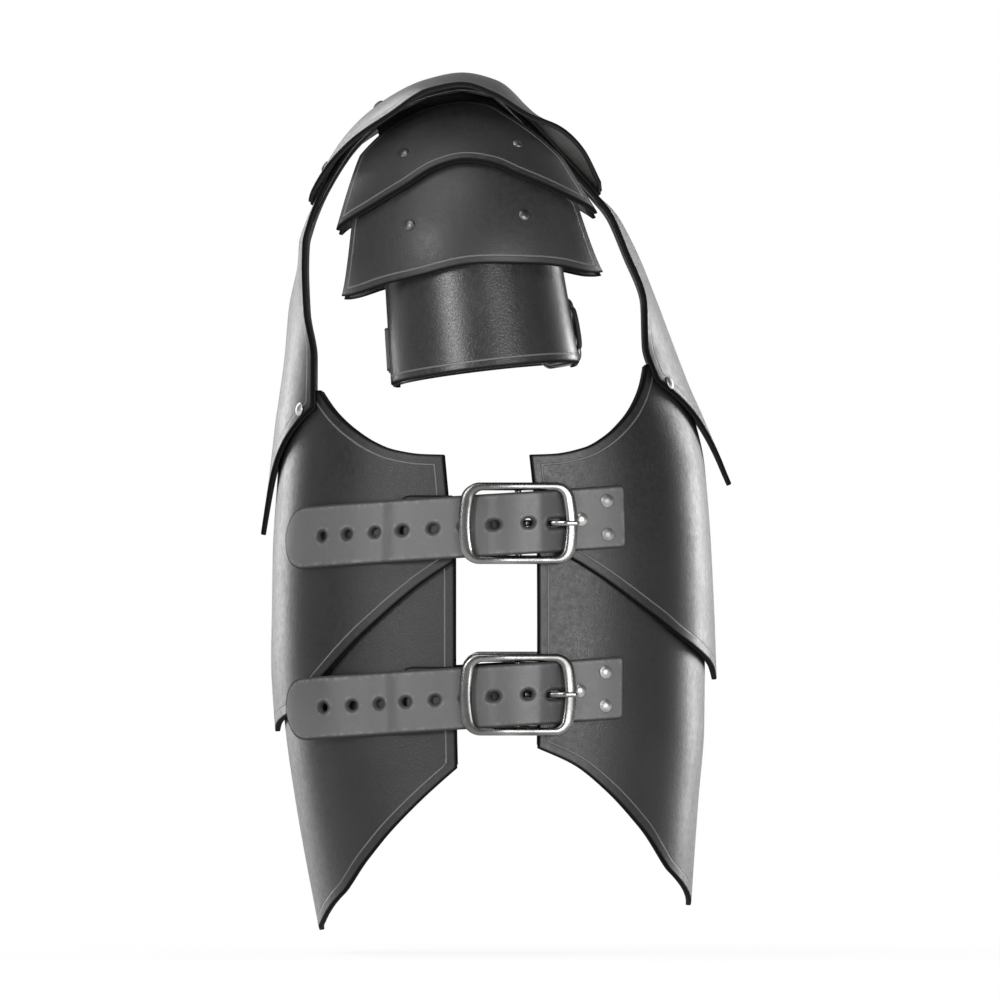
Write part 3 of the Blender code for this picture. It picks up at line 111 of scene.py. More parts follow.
class Value:
    """A shader socket that takes part in sums, so that masks are written as plain expressions."""

    def __init__(self, tree, socket):
        self.tree = tree
        self.socket = socket

    def make(self, kind, settings=None, out=0, **inputs):
        """Add any other node: its type, its settings, and values or links for its sockets."""
        node = self.tree.nodes.new("ShaderNode" + kind)
        for key, setting in (settings or {}).items():
            if key == "stops":
                for index, (place, colour) in enumerate(setting):
                    stops = node.color_ramp.elements
                    stop = stops[index] if index < len(stops) else stops.new(place)
                    stop.position = place
                    stop.color = (*colour, 1) if isinstance(colour, tuple) else (colour,) * 3 + (1,)
            else:
                setattr(node, key, setting)
        wire(node, **inputs)
        return Value(self.tree, node.outputs[out])

    def math(self, operation, other=0.0):
        return self.make("Math", {"operation": operation}, i0=self, i1=other)

    def __add__(self, other):
        return self.math("ADD", other)

    def __mul__(self, other):
        return self.math("MULTIPLY", other)

    def __sub__(self, other):
        return self.math("SUBTRACT", other)

    def __rsub__(self, other):
        return self.make("Math", {"operation": "SUBTRACT"}, i0=other, i1=self)

    def __truediv__(self, other):
        return self.math("DIVIDE", other)

    def __abs__(self):
        return self.math("ABSOLUTE")

    __radd__ = __add__
    __rmul__ = __mul__

    def ramp(self, low, high):
        """0 below low, 1 above high, and a smooth rise between them."""
        return self.make("MapRange", {"interpolation_type": "SMOOTHSTEP"}, Value=self, From_Min=low, From_Max=high)

    def line(self, place, width):
        """1 on a line where the value equals place, falling to 0 at half a width on each side."""
        return 1.0 - abs(self - place).ramp(width * 0.15, width * 0.5)

    def blend(self, first, second):
        """Colour that goes from first to second as this value goes from 0 to 1."""
        return self.make("Mix", {"data_type": "RGBA"}, out=2, i0=self, i6=first, i7=second)

    def noise(self, scale, detail, roughness=0.6):
        """Noise over this place."""
        return self.make("TexNoise", Vector=self, Scale=scale, Detail=detail, Roughness=roughness)


def start_material(name):
    """New material: its tree as a Value to build from, and its Principled shader."""
    material = bpy.data.materials.new(name)
    material.use_nodes = True
    tree = material.node_tree
    return material, Value(tree, None), tree.nodes["Principled BSDF"]


def read(tree, name):
    """Value of a number stored on the mesh's points."""
    return tree.make("Attribute", {"attribute_name": name}, out=2)


def show(value, output="Material Output"):
    """Link a shader to the output of its tree."""
    value.tree.links.new(value.socket, value.tree.nodes[output].inputs["Surface"])


def shade(colour, factor=1.0):
    """Colour for a socket, made darker or lighter by a factor."""
    return (*(factor * value for value in colour), 1)


GROOVE_WIDTH = 0.0016
GROOVE_COLOUR = (0.14, 0.14, 0.142)


def leather(name, dye, worn, flesh, sheen_low, sheen_high, groove_place=-1.0, grain=1.0, wax=0.12):
    """Dyed leather: cloudy dye, fine grain and pores, a tooled line, dark burnished edges, a rough flesh side.

    The line lies groove_place inside the edge, and a place below zero leaves it out.
    """
    material, tree, shader = start_material(name)
    place = tree.make("TexCoord", out=3)
    edge = read(tree, "edge")
    inner = read(tree, "flesh").ramp(0.35, 0.65)
    cloud = place.noise(11.0, 5.0, 0.55)
    streaks = tree.make("Mapping", Vector=place, Scale=(26.0, 26.0, 5.0))
    streak = streaks.noise(1.0, 4.0)
    fine = place.noise(260.0, 4.0)
    pores = tree.make("TexVoronoi", {"feature": "SMOOTH_F1"}, Vector=place, Scale=620.0, Smoothness=0.4)
    wrinkle = tree.make("TexVoronoi", {"feature": "DISTANCE_TO_EDGE"}, Vector=place, Scale=330.0)
    fibre = place.noise(900.0, 3.0, 0.7)
    groove = edge.line(groove_place, GROOVE_WIDTH)
    rim = 1.0 - edge.ramp(0.0004, 0.0022)
    rub = (1.0 - edge.ramp(0.0014, 0.0045)) * fine.ramp(0.42, 0.75)
    tone = cloud.ramp(0.3, 0.72) * 0.5 + streak.ramp(0.3, 0.75) * 0.3 + fine.ramp(0.3, 0.8) * 0.2
    face = tone.blend(shade(dye), shade(worn))
    face = (rub * 0.45).blend(face, shade(worn, 2.2))
    face = (groove * 0.8).blend(face, shade(GROOVE_COLOUR))
    face = (rim * 0.85).blend(face, shade(dye, 0.45))
    back = fibre.ramp(0.3, 0.7).blend(shade(flesh, 0.6), shade(flesh))
    gloss = sheen_low + (sheen_high - sheen_low) * tone + 0.1 * fine.ramp(0.3, 0.8) + 0.3 * rim + 0.1 * groove
    height = ((fine * 0.35 + pores * 0.5 + wrinkle.ramp(0.0, 0.12) * 0.35) * (0.00011 * grain) + cloud * 0.0004
              + streak * 0.0003 - groove * 0.00045 + fibre * inner * 0.0004)
    wire(shader, Base_Color=inner.blend(face, back), Roughness=gloss * (1.0 - inner) + 0.85 * inner,
         Normal=tree.make("Bump", Height=height, Strength=0.8, Distance=1.0), Coat_Weight=wax, Coat_Roughness=0.32)
    cut_edge = tree.make("BsdfDiffuse", Color=shade(dye, 0.6))
    show(tree.make("MixShader", i0=rim * 0.85, i1=Value(tree.tree, shader.outputs[0]), i2=cut_edge))
    return material


def cubic(at, value, place):
    """Cubic curve through the values at given places, with slopes that never overshoot a value."""
    spread = (...,) + (None,) * (value.ndim - 1)
    slope = np.diff(value, axis=0) / np.diff(at)[spread]
    left, right = slope[:-1], slope[1:]
    same = left * right > 0
    inner = np.where(same, 2 * left * right / np.where(same, left + right, 1), 0)
    tangent = np.concatenate((slope[:1], inner, slope[-1:]))
    index = np.clip(np.searchsorted(at, place, side="right") - 1, 0, len(at) - 2)
    width = (at[index + 1] - at[index])[spread]
    step = (place - at[index])[spread] / width
    rest = 1 - step
    return (value[index] * rest * rest * (1 + 2 * step) + value[index + 1] * step * step * (3 - 2 * step)
            + width * step * rest * (tangent[index] * rest - tangent[index + 1] * step))


def eased(table, place):
    """Such a curve through (place, value) pairs, level before the first and after the last."""
    at, value = np.array(table, dtype=float).T
    return cubic(at, value, np.clip(place, at[0], at[-1]))


def mix(first, second, share):
    """Straight blend: first where share is 0, second where it is 1."""
    return first + (second - first) * share


def points_at(x, y, z):
    """Points from three coordinates that are brought to one shape."""
    return np.stack(np.broadcast_arrays(x, y, z), axis=-1)


def unit(vectors):
    """Vectors brought to a length of one."""
    return vectors / np.maximum(np.linalg.norm(vectors, axis=-1, keepdims=True), 1e-12)


TRUNK_HALF = 0.178
TRUNK_DRAW = 0.18
TRUNK_SOFTNESS = 0.15
BODY_DROP = 0.545
CHEST = ((0.14, 0.1121), (0.28, 0.1215), (0.35, 0.126), (0.385, 0.1291), (0.46, 0.1324),
         (0.55, 0.135), (0.66, 0.135), (0.75, 0.1315), (0.845, 0.1243), (1.0, 0.1088))
SPINE = ((0.14, 0.088), (0.22, 0.098), (0.3, 0.1097), (0.35, 0.1205), (0.383, 0.127), (0.44, 0.1336),
         (0.55, 0.1372), (0.64, 0.138), (0.75, 0.1376), (0.845, 0.1336), (1.0, 0.1277))


def trunk(turn, height, lift):
    """Body form: a squared oval |cos|^1/2 deep and |sin|^1/2 wide, drawn in a little before and behind.

    Turn is 0 at mid chest and half a turn at the spine, negative on the wearer's right.
    """
    turn, height, lift = np.broadcast_arrays(*(np.asarray(value, float) for value in (turn, height, lift)))
    cosine, sine = np.cos(turn), np.sin(turn)
    share = np.sqrt(np.abs(cosine))
    drawn = np.hypot(share, TRUNK_SOFTNESS) - TRUNK_SOFTNESS
    depth = np.where(cosine > 0, eased(CHEST, -height / BODY_DROP), eased(SPINE, -height / BODY_DROP)) + lift
    sine = np.where(np.abs(sine) < 1e-9, 0, sine)
    x = (TRUNK_HALF + lift) * (1 - TRUNK_DRAW * drawn) * np.sign(sine) * np.sqrt(np.abs(sine))
    return points_at(x, -np.sign(cosine) * share * depth, height)


def run_along(path):
    """Length of a path from its start to each of its points."""
    return np.concatenate(([0], np.cumsum(np.linalg.norm(np.diff(path, axis=0), axis=1))))


GIRTH_SHARE = 0.55
TURNS = np.linspace(0, math.pi, 20001)
RUN = run_along(trunk(TURNS, -GIRTH_SHARE * BODY_DROP, 0))
QUARTER = float(np.interp(math.pi / 2, TURNS, RUN))
ARRIS_STEPS = (0.0, 0.0002, 0.0005, 0.0009, 0.0015, 0.0026, 0.0045)


def crowded(count, length, start=True):
    """Places from 0 to 1, close together at 1, and at 0 too if start is set, so that an arris is smooth."""
    near = np.array(ARRIS_STEPS) / length
    low = near if start else np.zeros(1)
    middle = np.linspace(low[-1], 1 - near[-1], count)
    return np.concatenate((low[:-1], middle, 1 - near[:-1][::-1]))


def set_mesh(name, points, faces, numbers, material):
    """Mesh object from arrays: points, groups of faces with as many corners, and numbers kept on the points."""
    used, compact = np.unique(np.concatenate([group.ravel() for group in faces]), return_inverse=True)
    corners = np.concatenate([np.full(len(group), group.shape[1]) for group in faces])
    mesh = bpy.data.meshes.new(name)
    mesh.vertices.add(len(used))
    mesh.vertices.foreach_set("co", points[used].astype(np.float32).ravel())
    mesh.loops.add(compact.size)
    mesh.loops.foreach_set("vertex_index", compact.astype(np.int32).ravel())
    mesh.polygons.add(len(corners))
    mesh.polygons.foreach_set("loop_start", (np.cumsum(corners) - corners).astype(np.int32))
    mesh.update(calc_edges=True)
    for key, values in numbers.items():
        mesh.attributes.new(key, "FLOAT", "POINT").data.foreach_set("value", values[used].astype(np.float32))
    mesh.shade_smooth()
    mesh.materials.append(material)
    return added(name, mesh)


def border_distance(points, starts, ends, reach=0.012):
    """Distance from each point to the nearest of six samples on each border edge: |p|^2 + |b|^2 - 2 p.b."""
    share = np.linspace(0, 1, 6, endpoint=False)[:, None, None]
    border = mix(starts, ends, share).reshape(-1, 3)
    square = (border ** 2).sum(1)
    near = np.empty(len(points))
    for first in range(0, len(points), 2000):
        block = points[first:first + 2000]
        near[first:first + 2000] = (square[None, :] - 2 * block @ border.T).min(1) + (block ** 2).sum(1)
    return np.minimum(np.sqrt(np.maximum(near, 0)), reach)


def off_face(base, middle):
    """Unit normals of a grid from the cross product of its two slopes, turned away from the middle."""
    normal = unit(np.cross(np.gradient(base, axis=1), np.gradient(base, axis=0)))
    return normal * np.sign((normal * (base - np.array(middle))).sum())


def leather_sheet(name, base, thickness, middle, material, kept=None, halves=False, rounding=0.0009, flesh=1.0):
    """Closed sheet of leather over a grid of its under face, with rounded arrises.

    The upper face falls by r (1 - sqrt(1 - (1 - d/r)^2)) at a distance d under r from the border. Cells that
    are not kept are left out, and with halves set the sheet is completed at the middle plane.
    """
    rows, columns = base.shape[:2]
    kept = np.ones((rows - 1, columns - 1), bool) if kept is None else kept
    normal = off_face(base, middle)
    on_plane = (np.abs(base[..., 0]) < 1e-6) & halves
    normal[on_plane, 0] = 0
    normal = unit(normal)
    index = np.arange(rows * columns).reshape(rows, columns)
    quads = np.stack((index[:-1, :-1], index[:-1, 1:], index[1:, 1:], index[1:, :-1]), axis=-1)
    padded = np.pad(kept, 1)
    bare = np.stack((~padded[:-2, 1:-1], ~padded[1:-1, 2:], ~padded[2:, 1:-1], ~padded[1:-1, :-2]), axis=-1)
    bare &= kept[..., None]
    first, second = quads[bare], np.roll(quads, -1, axis=-1)[bare]
    open_wall = on_plane.ravel()[first] & on_plane.ravel()[second]
    first, second = first[~open_wall], second[~open_wall]
    flat = base.reshape(-1, 3)
    edge = border_distance(flat, flat[first], flat[second])
    drop = (rounding * (1 - np.sqrt(1 - np.clip(1 - edge / rounding, 0, 1) ** 2)))[:, None]
    outer = flat + normal.reshape(-1, 3) * (thickness - drop)
    inner = flat + normal.reshape(-1, 3) * drop * 0.5
    count = rows * columns
    quads = quads[kept]
    walls = np.stack((first, first + count, second + count, second), axis=-1)
    faces = np.concatenate((quads, quads[:, ::-1] + count, walls))
    points = np.concatenate((outer, inner))
    facing = np.cross(outer[quads[:, 1]] - outer[quads[:, 0]], outer[quads[:, 3]] - outer[quads[:, 0]])
    if (facing * normal.reshape(-1, 3)[quads[:, 0]]).sum() < 0:
        faces = faces[:, ::-1]
    numbers = {"edge": np.tile(edge, 2), "flesh": np.repeat((0.0, flesh), count)}
    if halves:
        twin = np.arange(2 * count) + 2 * count
        twin[np.tile(on_plane.ravel(), 2)] -= 2 * count
        points = np.concatenate((points, points * (-1, 1, 1)))
        faces = np.concatenate((faces, twin[faces][:, ::-1]))
        numbers = {key: np.tile(values, 2) for key, values in numbers.items()}
    return set_mesh(name, points, [faces], numbers, material)


def put(piece, body, slot, *nodes):
    """Attach a piece to the body it rides and hide the model's nodes that it stands for; slot, its finish, is not
    used.
    """
    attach(piece, body)
    if nodes:
        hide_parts(*nodes)


LEATHER = 0.0035
LAYER = 0.004
BODY_MIDDLE = (0, 0, -0.3)
ARMHOLE_DROP = 0.232
ARMHOLE = ((0.0, 0.0), (0.2, 0.36), (0.36, 0.61), (0.5, 0.79), (0.65, 0.92), (0.85, 0.99), (1.0, 1.0))


def plate_grid(back, lift, corner, top, hem, gaps, flare, rows=60, columns=100):
    """Half a body plate on the form: heights mix the hem and the top edge, girths end a gap short of the side."""
    across = np.unique(np.append(crowded(columns, QUARTER, False), corner))[None, :]
    rise = crowded(rows, 0.18)[:, None]
    height = mix(hem(across), top(across), rise)
    share = across * (1 - mix(gaps[1], gaps[0], rise) / QUARTER)
    run = RUN[-1] - share * (RUN[-1] - QUARTER) if back else share * QUARTER
    grid = trunk(np.interp(run, RUN, TURNS), height, lift + flare * (1 - across) ** 2 * (1 - rise) ** 2)
    grid[:, 0, 0] = 0
    return grid


def falling(shares, side, middle):
    """Edge that falls from its height at the side to its height at the middle."""
    return lambda across: -side - (middle - side) * eased(shares, across)


def armhole(middle, corner_drop, corner):
    """Top edge: nearly level under the yoke, then the scoop from the corner out to the side."""
    return lambda across: -np.where(
        across < corner, mix(middle, corner_drop, np.clip(across / corner, 0, 1) ** 2),
        mix(corner_drop, ARMHOLE_DROP, eased(ARMHOLE, (across - corner) / (1 - corner))))


def body_plate(name, node, grid):
    """Plate of the body from half its grid, with its finish."""
    plate = leather_sheet(name, grid, LEATHER, BODY_MIDDLE, plate_look, halves=True)
    put(plate, "breastplate", "plate_leather", node)


FLESH = (0.16, 0.155, 0.15)
plate_look = leather("plate_leather", dye=(0.006, 0.006, 0.0062), worn=(0.016, 0.016, 0.0164), flesh=FLESH,
                     sheen_low=0.34, sheen_high=0.5, groove_place=0.0066)
TUCK = ((0.0, 1.0), (0.5, 0.75), (0.75, 0.4), (1.0, 0.0))
FRONT_TAIL = ((0.0, 1.0), (0.3, 0.96), (0.571, 0.77), (0.70, 0.55), (0.786, 0.385), (0.906, 0.165), (1.0, 0.0))
FRONT_HEM = ((0.0, 1.0), (0.42, 0.90), (0.525, 0.81), (0.61, 0.69), (0.755, 0.41), (0.91, 0.13), (1.0, 0.0))
FRONT_CORNER = 0.579
body_plate("chest_plate_lower", "front_lower_plate", plate_grid(
    False, 0, FRONT_CORNER, falling(TUCK, 0.261, 0.365), falling(FRONT_TAIL, 0.437, 0.5445),
    gaps=(0.0225, 0.0225), flare=0))
body_plate("chest_plate_upper", "front_upper_plate", plate_grid(
    False, LAYER, FRONT_CORNER, armhole(0.195, 0.190, FRONT_CORNER), falling(FRONT_HEM, 0.302, 0.414),
    gaps=(0.030, 0.0225), flare=0.003))

# The back plates: the same leather, cut with higher points, and joined to the front only by the side straps.
# Each upper plate laps over the lower one, and both tuck under the yoke.
BACK_TAIL = ((0.0, 1.0), (0.25, 0.95), (0.523, 0.78), (0.672, 0.50), (0.79, 0.27), (0.892, 0.106), (1.0, 0.0))
BACK_HEM = ((0.0, 1.0), (0.38, 0.84), (0.552, 0.70), (0.677, 0.52), (0.852, 0.22), (1.0, 0.0))
BACK_CORNER = 0.554
body_plate("back_plate_lower", "back_lower_plate", plate_grid(
    True, 0, BACK_CORNER, falling(TUCK, 0.247, 0.335), falling(BACK_TAIL, 0.424, 0.5285),
    gaps=(0.031, 0.031), flare=0))
body_plate("back_plate_upper", "back_upper_plate", plate_grid(
    True, LAYER, BACK_CORNER, armhole(0.185, 0.1735, BACK_CORNER), falling(BACK_HEM, 0.288, 0.380),
    gaps=(0.026, 0.031), flare=0.004))

# The yoke: one broad piece over both shoulders with a pointed bib before and behind, moulded to the body and
# riveted to the upper plates at its four corners.
YOKE_HALF, YOKE_RISE = 0.166, 0.130
CHEST_DEPTH, SPINE_DEPTH = 0.135, 0.138
YOKE_LIFT = 2 * LAYER + 0.0005
FRONT_GIRTH, BACK_GIRTH = 0.52, 0.50
YOKE_ROWS = (
    (0.843, -0.878, -1.06, 0.0, -0.955, -1.04), (0.885, -0.887, -0.84, 0.0, -0.912, -0.82),
    (0.910, -0.884, -0.725, 0.0, -0.905, -0.715), (0.925, -0.862, -0.63, 0.26, -0.880, -0.64),
    (0.945, -0.815, -0.50, 0.39, -0.818, -0.50), (0.975, -0.660, -0.235, 0.51, -0.660, -0.235),
    (0.990, -0.482, -0.073, 0.55, -0.482, -0.073), (1.0, -0.291, 0.023, 0.565, -0.291, 0.023),
    (1.0, -0.133, 0.054, 0.56, -0.133, 0.054), (1.0, 0.011, 0.021, 0.54, 0.011, 0.021),
    (0.995, 0.134, -0.092, 0.50, 0.134, -0.092), (0.980, 0.308, -0.281, 0.41, 0.308, -0.281),
    (0.960, 0.485, -0.485, 0.23, 0.485, -0.485), (0.945, 0.556, -0.580, 0.0, 0.575, -0.570),
    (0.920, 0.635, -0.773, 0.0, 0.675, -0.76), (0.875, 0.720, -1.02, 0.0, 0.768, -1.0))


def bib_rows(back, tip, corner, girth, flare):
    """Rows of a bib on the form: level lines that grow from its tip to its corner."""
    share = mix(0.006, 1, crowded(34, 0.11))[:, None]
    run = yoke_across[None, :] * girth * share
    run = RUN[-1] - run * (RUN[-1] - QUARTER) if back else run * QUARTER
    return trunk(np.interp(run, RUN, TURNS), -mix(tip, corner, share), YOKE_LIFT + flare * (1 - share) ** 2)


def sized(shares):
    """Places from shares of the yoke's half width, of the body's depth before or behind, and of the yoke's rise."""
    depth = np.where(shares[:, 1] < 0, CHEST_DEPTH, SPINE_DEPTH)
    return shares * np.stack((np.full(len(shares), YOKE_HALF), depth, np.full(len(shares), YOKE_RISE)), axis=1)


def free_rows():
    """Rows between the neck edge or middle line and the armhole edge; the middle bows by the cube of the share."""
    table = np.array(YOKE_ROWS)
    edge, inner = sized(table[:, :3])[:, None], sized(table[:, 3:])[:, None]
    across = yoke_across[None, :, None]
    rows = mix(inner, edge, across)
    rows[..., 1] = mix(inner[..., 1], edge[..., 1], across[..., 0] ** 3)
    return rows


yoke_across = crowded(56, 0.16)
front_bib = bib_rows(False, tip=0.2855, corner=0.2015, girth=FRONT_GIRTH, flare=0.0045)
back_bib = bib_rows(True, tip=0.253, corner=0.184, girth=BACK_GIRTH, flare=0.013)
upper_ends = (trunk(np.interp(yoke_across * 0.495 * QUARTER, RUN, TURNS), -0.168, YOKE_LIFT),
              trunk(np.interp(RUN[-1] - yoke_across * BACK_GIRTH * (RUN[-1] - QUARTER), RUN, TURNS), -0.160,
                    YOKE_LIFT))
over = np.concatenate((front_bib[-1:], upper_ends[0][None], free_rows(), upper_ends[1][None], back_bib[-1:]))
place = np.unique(np.concatenate((np.linspace(0, len(over) - 1, 171), (4.01, 4.04, 4.1, 14.9, 14.96, 14.99))))
shoulders = cubic(np.arange(len(over)), over, place)
for low, high, rise in ((4, 5, True), (14, 15, False)):
    step = np.clip(place - low if rise else high - place, 0, 1)
    bottom = over[high if rise else low, 0, 0]
    within = (place >= low) & (place <= high)
    shift = bottom * np.sqrt(step) - shoulders[:, 0, 0]
    shoulders[within, :, 0] += shift[within, None] * (1 - yoke_across)[None, :]
yoke_grid = np.concatenate((front_bib[:-1], shoulders, back_bib[:-1][::-1]))
yoke_grid[np.abs(yoke_grid[:, 0, 0]) < 1e-5, 0, 0] = 0
body_plate("shoulder_yoke", "yoke", yoke_grid)

# The fasteners: domed rivets of blackened steel, worn bright in patches, with a shaft and a burr on the inside.
# Four of them hold the corners of the yoke to the upper plates.
def steel(name, dark, bright, rough_low, rough_high, scale=1.0):
    """Antique finish: dark in some clouds of noise, and polished bright and smoother by wear in others."""
    material, tree, shader = start_material(name)
    place = tree.make("TexCoord", out=3)
    cloud = place.noise(90.0 * scale, 5.0)
    grit = place.noise(1100.0 * scale, 3.0)
    brushed = tree.make("Mapping", Vector=place, Scale=(300.0, 2600.0, 300.0))
    scratch = brushed.noise(1.0, 2.0, 0.5)
    wear = cloud.ramp(0.32, 0.68)
    wire(shader, Base_Color=wear.blend(shade(dark), shade(bright)), Metallic=1.0,
         Roughness=rough_high - (rough_high - rough_low) * wear + 0.08 * scratch.ramp(0.4, 0.8),
         Normal=tree.make("Bump", Height=grit * 0.00002 + scratch * 0.00001 + cloud * 0.00005, Strength=0.4,
                          Distance=1.0))
    return material


def tube(rings, closed):
    """Skin over rings of points that follow a path: quads between rings, and a cap at each free end."""
    count, sides = rings.shape[:2]
    index = np.arange(count * sides).reshape(count, sides)
    after = np.roll(index, -1, axis=0) if closed else index[1:]
    here = index if closed else index[:-1]
    quads = np.stack((here, np.roll(here, -1, axis=1), np.roll(after, -1, axis=1), after), axis=-1).reshape(-1, 4)
    return rings.reshape(-1, 3), [quads] if closed else [quads, index[0][None, ::-1], index[-1][None]]


def joined(name, shells, material):
    """One object of several closed shells."""
    points = np.concatenate([shell[0] for shell in shells])
    starts = np.cumsum([0] + [len(shell[0]) for shell in shells])
    faces = [group + start for shell, start in zip(shells, starts) for group in shell[1]]
    piece = set_mesh(name, points, faces, {}, material)
    work = bmesh.new()
    work.from_mesh(piece.data)
    bmesh.ops.recalc_face_normals(work, faces=work.faces)
    work.to_mesh(piece.data)
    work.free()
    return piece


def turned(profile, sides=40):
    """Shell turned about Z from radii and heights."""
    angle = np.arange(sides) / sides * 2 * math.pi
    radius, height = np.array(profile, float).T[..., None]
    return tube(points_at(radius * np.cos(angle), radius * np.sin(angle), height), False)


def frame_on(surface, along, across, lift):
    """Frame on a surface by finite differences: X along it, Z off it. Rows are the axes and the place."""
    step = 0.0035
    here, ahead, behind, up, down = (surface(np.array(a), np.array(b), lift) for a, b in (
        (along, across), (along + step, across), (along - step, across), (along, across + step),
        (along, across - step)))
    x_axis = unit(ahead - behind)
    z_axis = unit(np.cross(x_axis, up - down))
    return np.stack((x_axis, np.cross(z_axis, x_axis), z_axis, here))


def placed(shell, frame):
    """Shell moved into a frame."""
    return shell[0] @ frame[:3] + frame[3], shell[1]


def points_of(mesh):
    """Array of a mesh's points."""
    points = np.empty(len(mesh.vertices) * 3, np.float32)
    mesh.vertices.foreach_get("co", points)
    return points.reshape(-1, 3)


def mirrored(piece):
    """Right-hand twin of a left-hand piece: the same mesh with every x turned about."""
    mesh = piece.data.copy()
    points = points_of(mesh)
    points[:, 0] *= -1
    mesh.vertices.foreach_set("co", points.ravel())
    mesh.flip_normals()
    return added(piece.name.replace("left", "right"), mesh)


def on_both_sides(piece, body, slot, *nodes):
    """Attach a left-hand piece and its right-hand twin to their bodies."""
    twin = mirrored(piece)
    put(piece, body, slot, *nodes)
    put(twin, body.replace("left", "right"), slot, *(node.replace("left", "right") for node in nodes))


def around(run, height, lift):
    """Body form by distance from mid chest round to the spine."""
    return trunk(np.interp(run, RUN, TURNS), height, lift)


def rivet_tail(grip, burr=0.0010):
    """Profile of a rivet's shaft below the head, with the burr that closes it on the inside."""
    return ((0.0016, grip), (0.0034, grip), (0.0036, grip - 0.0002), (0.0036, grip - burr + 0.0002),
            (0.0033, grip - burr), (0.0002, grip - burr))


def rivets(name, profile, frames, material, body, *nodes):
    """Turned rivets of one profile, each in its own frame, on both sides of the armour."""
    shells = [placed(turned(profile), frame) for frame in frames]
    on_both_sides(joined(name, shells, material), body, "antique_steel", *nodes)


rivet_steel = steel("rivet_steel", dark=(0.28, 0.276, 0.27), bright=(0.60, 0.592, 0.58), rough_low=0.34,
                    rough_high=0.48)
RIVET_DOME = ((0.0002, 0.00205), (0.0011, 0.00201), (0.0020, 0.00184), (0.00285, 0.0015), (0.0035, 0.00105),
              (0.00395, 0.00075), (0.00425, 0.00055), (0.00435, 0.0003), (0.0043, 0.0), (0.0016, 0.0))
RIVET_INSET = 0.9
for end, run, height in (("front", QUARTER * FRONT_GIRTH * RIVET_INSET, -0.20235),
                         ("back", RUN[-1] - (RUN[-1] - QUARTER) * BACK_GIRTH * RIVET_INSET, -0.18485)):
    rivets(f"left_{end}_yoke_rivet_head", RIVET_DOME + rivet_tail(-0.0086),
           [frame_on(around, run, height, YOKE_LIFT + LEATHER + 0.0001)], rivet_steel, "breastplate",
           f"left_{end}_yoke_rivet")

# The side straps' buckles: cast centre-bar frames with rounded corners and a flat prong, of blackened steel with
# a worn polish. A folded leather loop, riveted to the chest plates, holds each centre bar.
strap_look = leather("strap_leather", dye=(0.074, 0.074, 0.0753), worn=(0.120, 0.120, 0.122),
                     flesh=(0.15, 0.145, 0.14), sheen_low=0.36, sheen_high=0.5, grain=0.7)
loop_look = leather("loop_leather", dye=(0.012, 0.012, 0.0123), worn=(0.030, 0.030, 0.0306),
                    flesh=(0.05, 0.048, 0.046), sheen_low=0.4, sheen_high=0.55, grain=0.7)
buckle_steel = steel("buckle_steel", dark=(0.13, 0.128, 0.125), bright=(0.27, 0.267, 0.262), rough_low=0.2,
                     rough_high=0.3, scale=0.35)
SIDE_BUCKLE = SimpleNamespace(
    length=0.0712, width=0.0534, end_bar=0.0074, side_bar=0.0052, thickness=0.0050, corner=0.0100, front=0.0101,
    back=0.0072, bar=0.0020, height=0.0051, prong=0.0352, root=0.0044, tip=0.0030, flat=0.0024, seat=0.0005, bow=0.09)


def rounded_box(length, width, corner, bow, turn=9, straight=9):
    """Outline of a box with round corners, each straight side in even steps.

    Its ends bow out: every point's x shrinks by the bow times the square of its y as a share of the half width.
    """
    points = []
    for quarter, (x_sign, y_sign) in enumerate(((1, 1), (-1, 1), (-1, -1), (1, -1))):
        angle = (quarter + np.linspace(0, 1, turn)) * math.pi / 2
        points.append(np.stack((x_sign * (length / 2 - corner) + corner * np.cos(angle),
                                y_sign * (width / 2 - corner) + corner * np.sin(angle)), axis=1))
    sides = []
    for first, second in zip(points, points[1:] + points[:1]):
        sides += [first, mix(first[-1], second[0], np.linspace(0, 1, straight + 2)[1:-1, None])]
    outline = np.concatenate(sides)
    outline[:, 0] *= 1 - bow * (outline[:, 1] / (width / 2)) ** 2
    return outline


def super_section(sides, power):
    """Section between an oval and a box: cos and sin raised to 2/power, with their signs."""
    angle = np.arange(sides) / sides * 2 * math.pi
    wave = np.stack((np.cos(angle), np.sin(angle)), axis=1)
    return np.sign(wave) * np.abs(wave) ** (2 / power)


def on_surface(shell, surface):
    """Shell bent from flat onto a surface."""
    return surface(*shell[0].T), shell[1]


def buckle(name, surface, size):
    """Frame swept between its inner and outer outline, tilted up at the front, with its centre bar."""
    outer = rounded_box(size.length, size.width, size.corner, size.bow)
    inner = rounded_box(size.length - 2 * size.end_bar, size.width - 2 * size.side_bar,
                        size.corner * 0.45, size.bow)
    section = super_section(28, 2.7)
    share = 0.5 + 0.5 * section[None, :, :1]
    flat = mix(inner[:, None, :], outer[:, None, :], share)
    tilt = (size.front - size.back) / (size.length - size.end_bar)
    rise = size.thickness / 2 * section[None, :, 1] + (size.front + size.back) / 2 - flat[..., 0] * tilt
    frame = tube(points_at(flat[..., 0], flat[..., 1], rise), True)
    ends = (size.width - size.side_bar) / 2
    place = np.linspace(-ends, ends, 13)[:, None]
    ring = super_section(20, 2.0)[None]
    bar = points_at(size.bar * ring[..., 0], place, size.height + size.bar * ring[..., 1])
    return joined(name, [on_surface(frame, surface), on_surface(tube(bar, False), surface)], buckle_steel)


